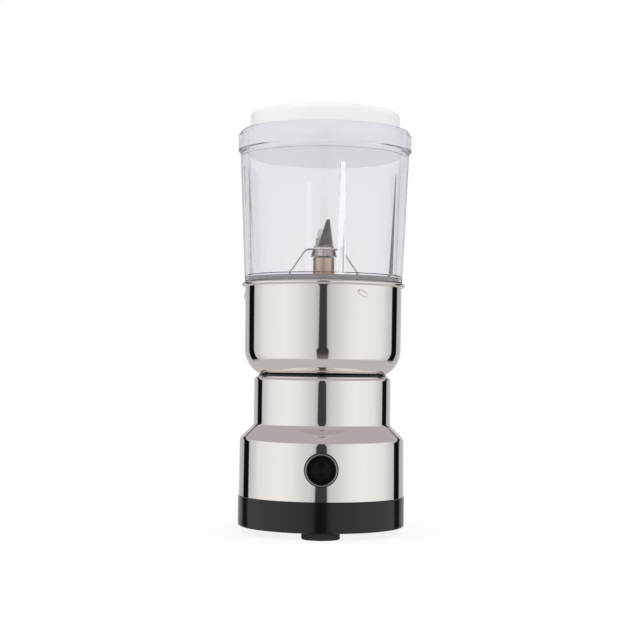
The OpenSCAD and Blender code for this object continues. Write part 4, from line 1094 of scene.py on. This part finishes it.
def floor_material():
    """Pale floor that keeps the object's shadow. To the camera it is mostly its own white, and mirrors
    see the studio's table in its place."""
    material = bpy.data.materials.new("studio_floor")
    n, shader = opened(material)
    shader["Base Color"].default_value = (0.98, 0.98, 0.98, 1)
    shader["Roughness"].default_value = 1.0
    shader["Specular IOR Level"].default_value = 0.0
    path = n.node("LightPath").outputs
    own_white = n.multiply(n.seen(path), 0.86)
    glow, clear = n.node("Emission", Strength=1.0), n.node("BsdfTransparent")
    matt = n.tree.nodes["Principled BSDF"].outputs[0]
    surface = n.mix_shader(own_white, matt, glow.outputs[0])
    surface = n.mix_shader(n.mirrored(path), surface, clear.outputs[0])
    n.put(surface, n.tree.nodes["Material Output"].inputs["Surface"])
    return material


def turn_about(axis, radians):
    return Matrix.Rotation(radians, 4, axis)


class GRINDER_OT_stage(Operator):
    """Set up the floor, the light and the camera"""

    bl_idname = "grinder.stage"
    bl_label = "Stage"

    def execute(self, context):
        scene = context.scene
        studio = scene.grinder_studio
        scene.view_settings.view_transform = "Standard"
        scene.world = studio_world(studio)
        reach = 30.0
        corners = [(x * reach, y * reach, 0) for x, y in ((-1, -1), (1, -1), (1, 1), (-1, 1))]
        mesh = bpy.data.meshes.new("floor")
        mesh.from_pydata(corners, [], [(0, 1, 2, 3)])
        mesh.materials.append(floor_material())
        floor = placed("floor", mesh)
        floor.visible_glossy = False
        lamp = bpy.data.lights.new("key", "AREA")
        lamp.energy, lamp.size = studio.key, 1.2
        key = placed("key", lamp)
        key.matrix_world = (
            Matrix.Translation((-0.9, -1.1, 1.6))
            @ turn_about("Z", math.radians(-40))
            @ turn_about("X", math.radians(42))
        )
        key.visible_glossy = False
        lens = bpy.data.cameras.new("camera")
        lens.lens, lens.sensor_width = studio.lens, 36.0
        lens.clip_start, lens.clip_end = 0.05, 50.0
        camera = placed("camera", lens)
        camera.matrix_world = (
            Matrix.Translation((0, -studio.distance, studio.height))
            @ turn_about("Z", studio.yaw)
            @ turn_about("X", math.pi / 2 + studio.pitch)
            @ turn_about("Z", studio.roll)
        )
        scene.camera = camera
        return {"FINISHED"}


class GRINDER_PT_panel(Panel):
    bl_idname = "GRINDER_PT_panel"
    bl_label = "Grinder"
    bl_space_type = "VIEW_3D"
    bl_region_type = "UI"
    bl_category = "Grinder"

    def draw(self, context):
        for operator in OPERATORS:
            self.layout.operator(operator.bl_idname)
        for name in GROUPS:
            group = getattr(context.scene, name)
            for key in group.__annotations__:
                self.layout.prop(group, key)


GROUPS = {"grinder_sizes": GrinderSizes, "grinder_colours": GrinderColours, "grinder_studio": GrinderStudio}
OPERATORS = (
    GRINDER_OT_finishes, GRINDER_OT_stage, GRINDER_OT_base_shell, GRINDER_OT_push_button, GRINDER_OT_bowl,
    GRINDER_OT_tower, GRINDER_OT_blades, GRINDER_OT_jar, GRINDER_OT_cap,
)


def register():
    for cls in (*GROUPS.values(), *OPERATORS, GRINDER_PT_panel):
        bpy.utils.register_class(cls)
    for name, group in GROUPS.items():
        setattr(bpy.types.Scene, name, PointerProperty(type=group))


def unregister():
    for name in GROUPS:
        delattr(bpy.types.Scene, name)
    for cls in reversed((*GROUPS.values(), *OPERATORS, GRINDER_PT_panel)):
        bpy.utils.unregister_class(cls)


def main():
    register()
    for operator in OPERATORS:
        area, name = operator.bl_idname.split(".")
        getattr(getattr(bpy.ops, area), name)()


if __name__ == "__main__":
    main()
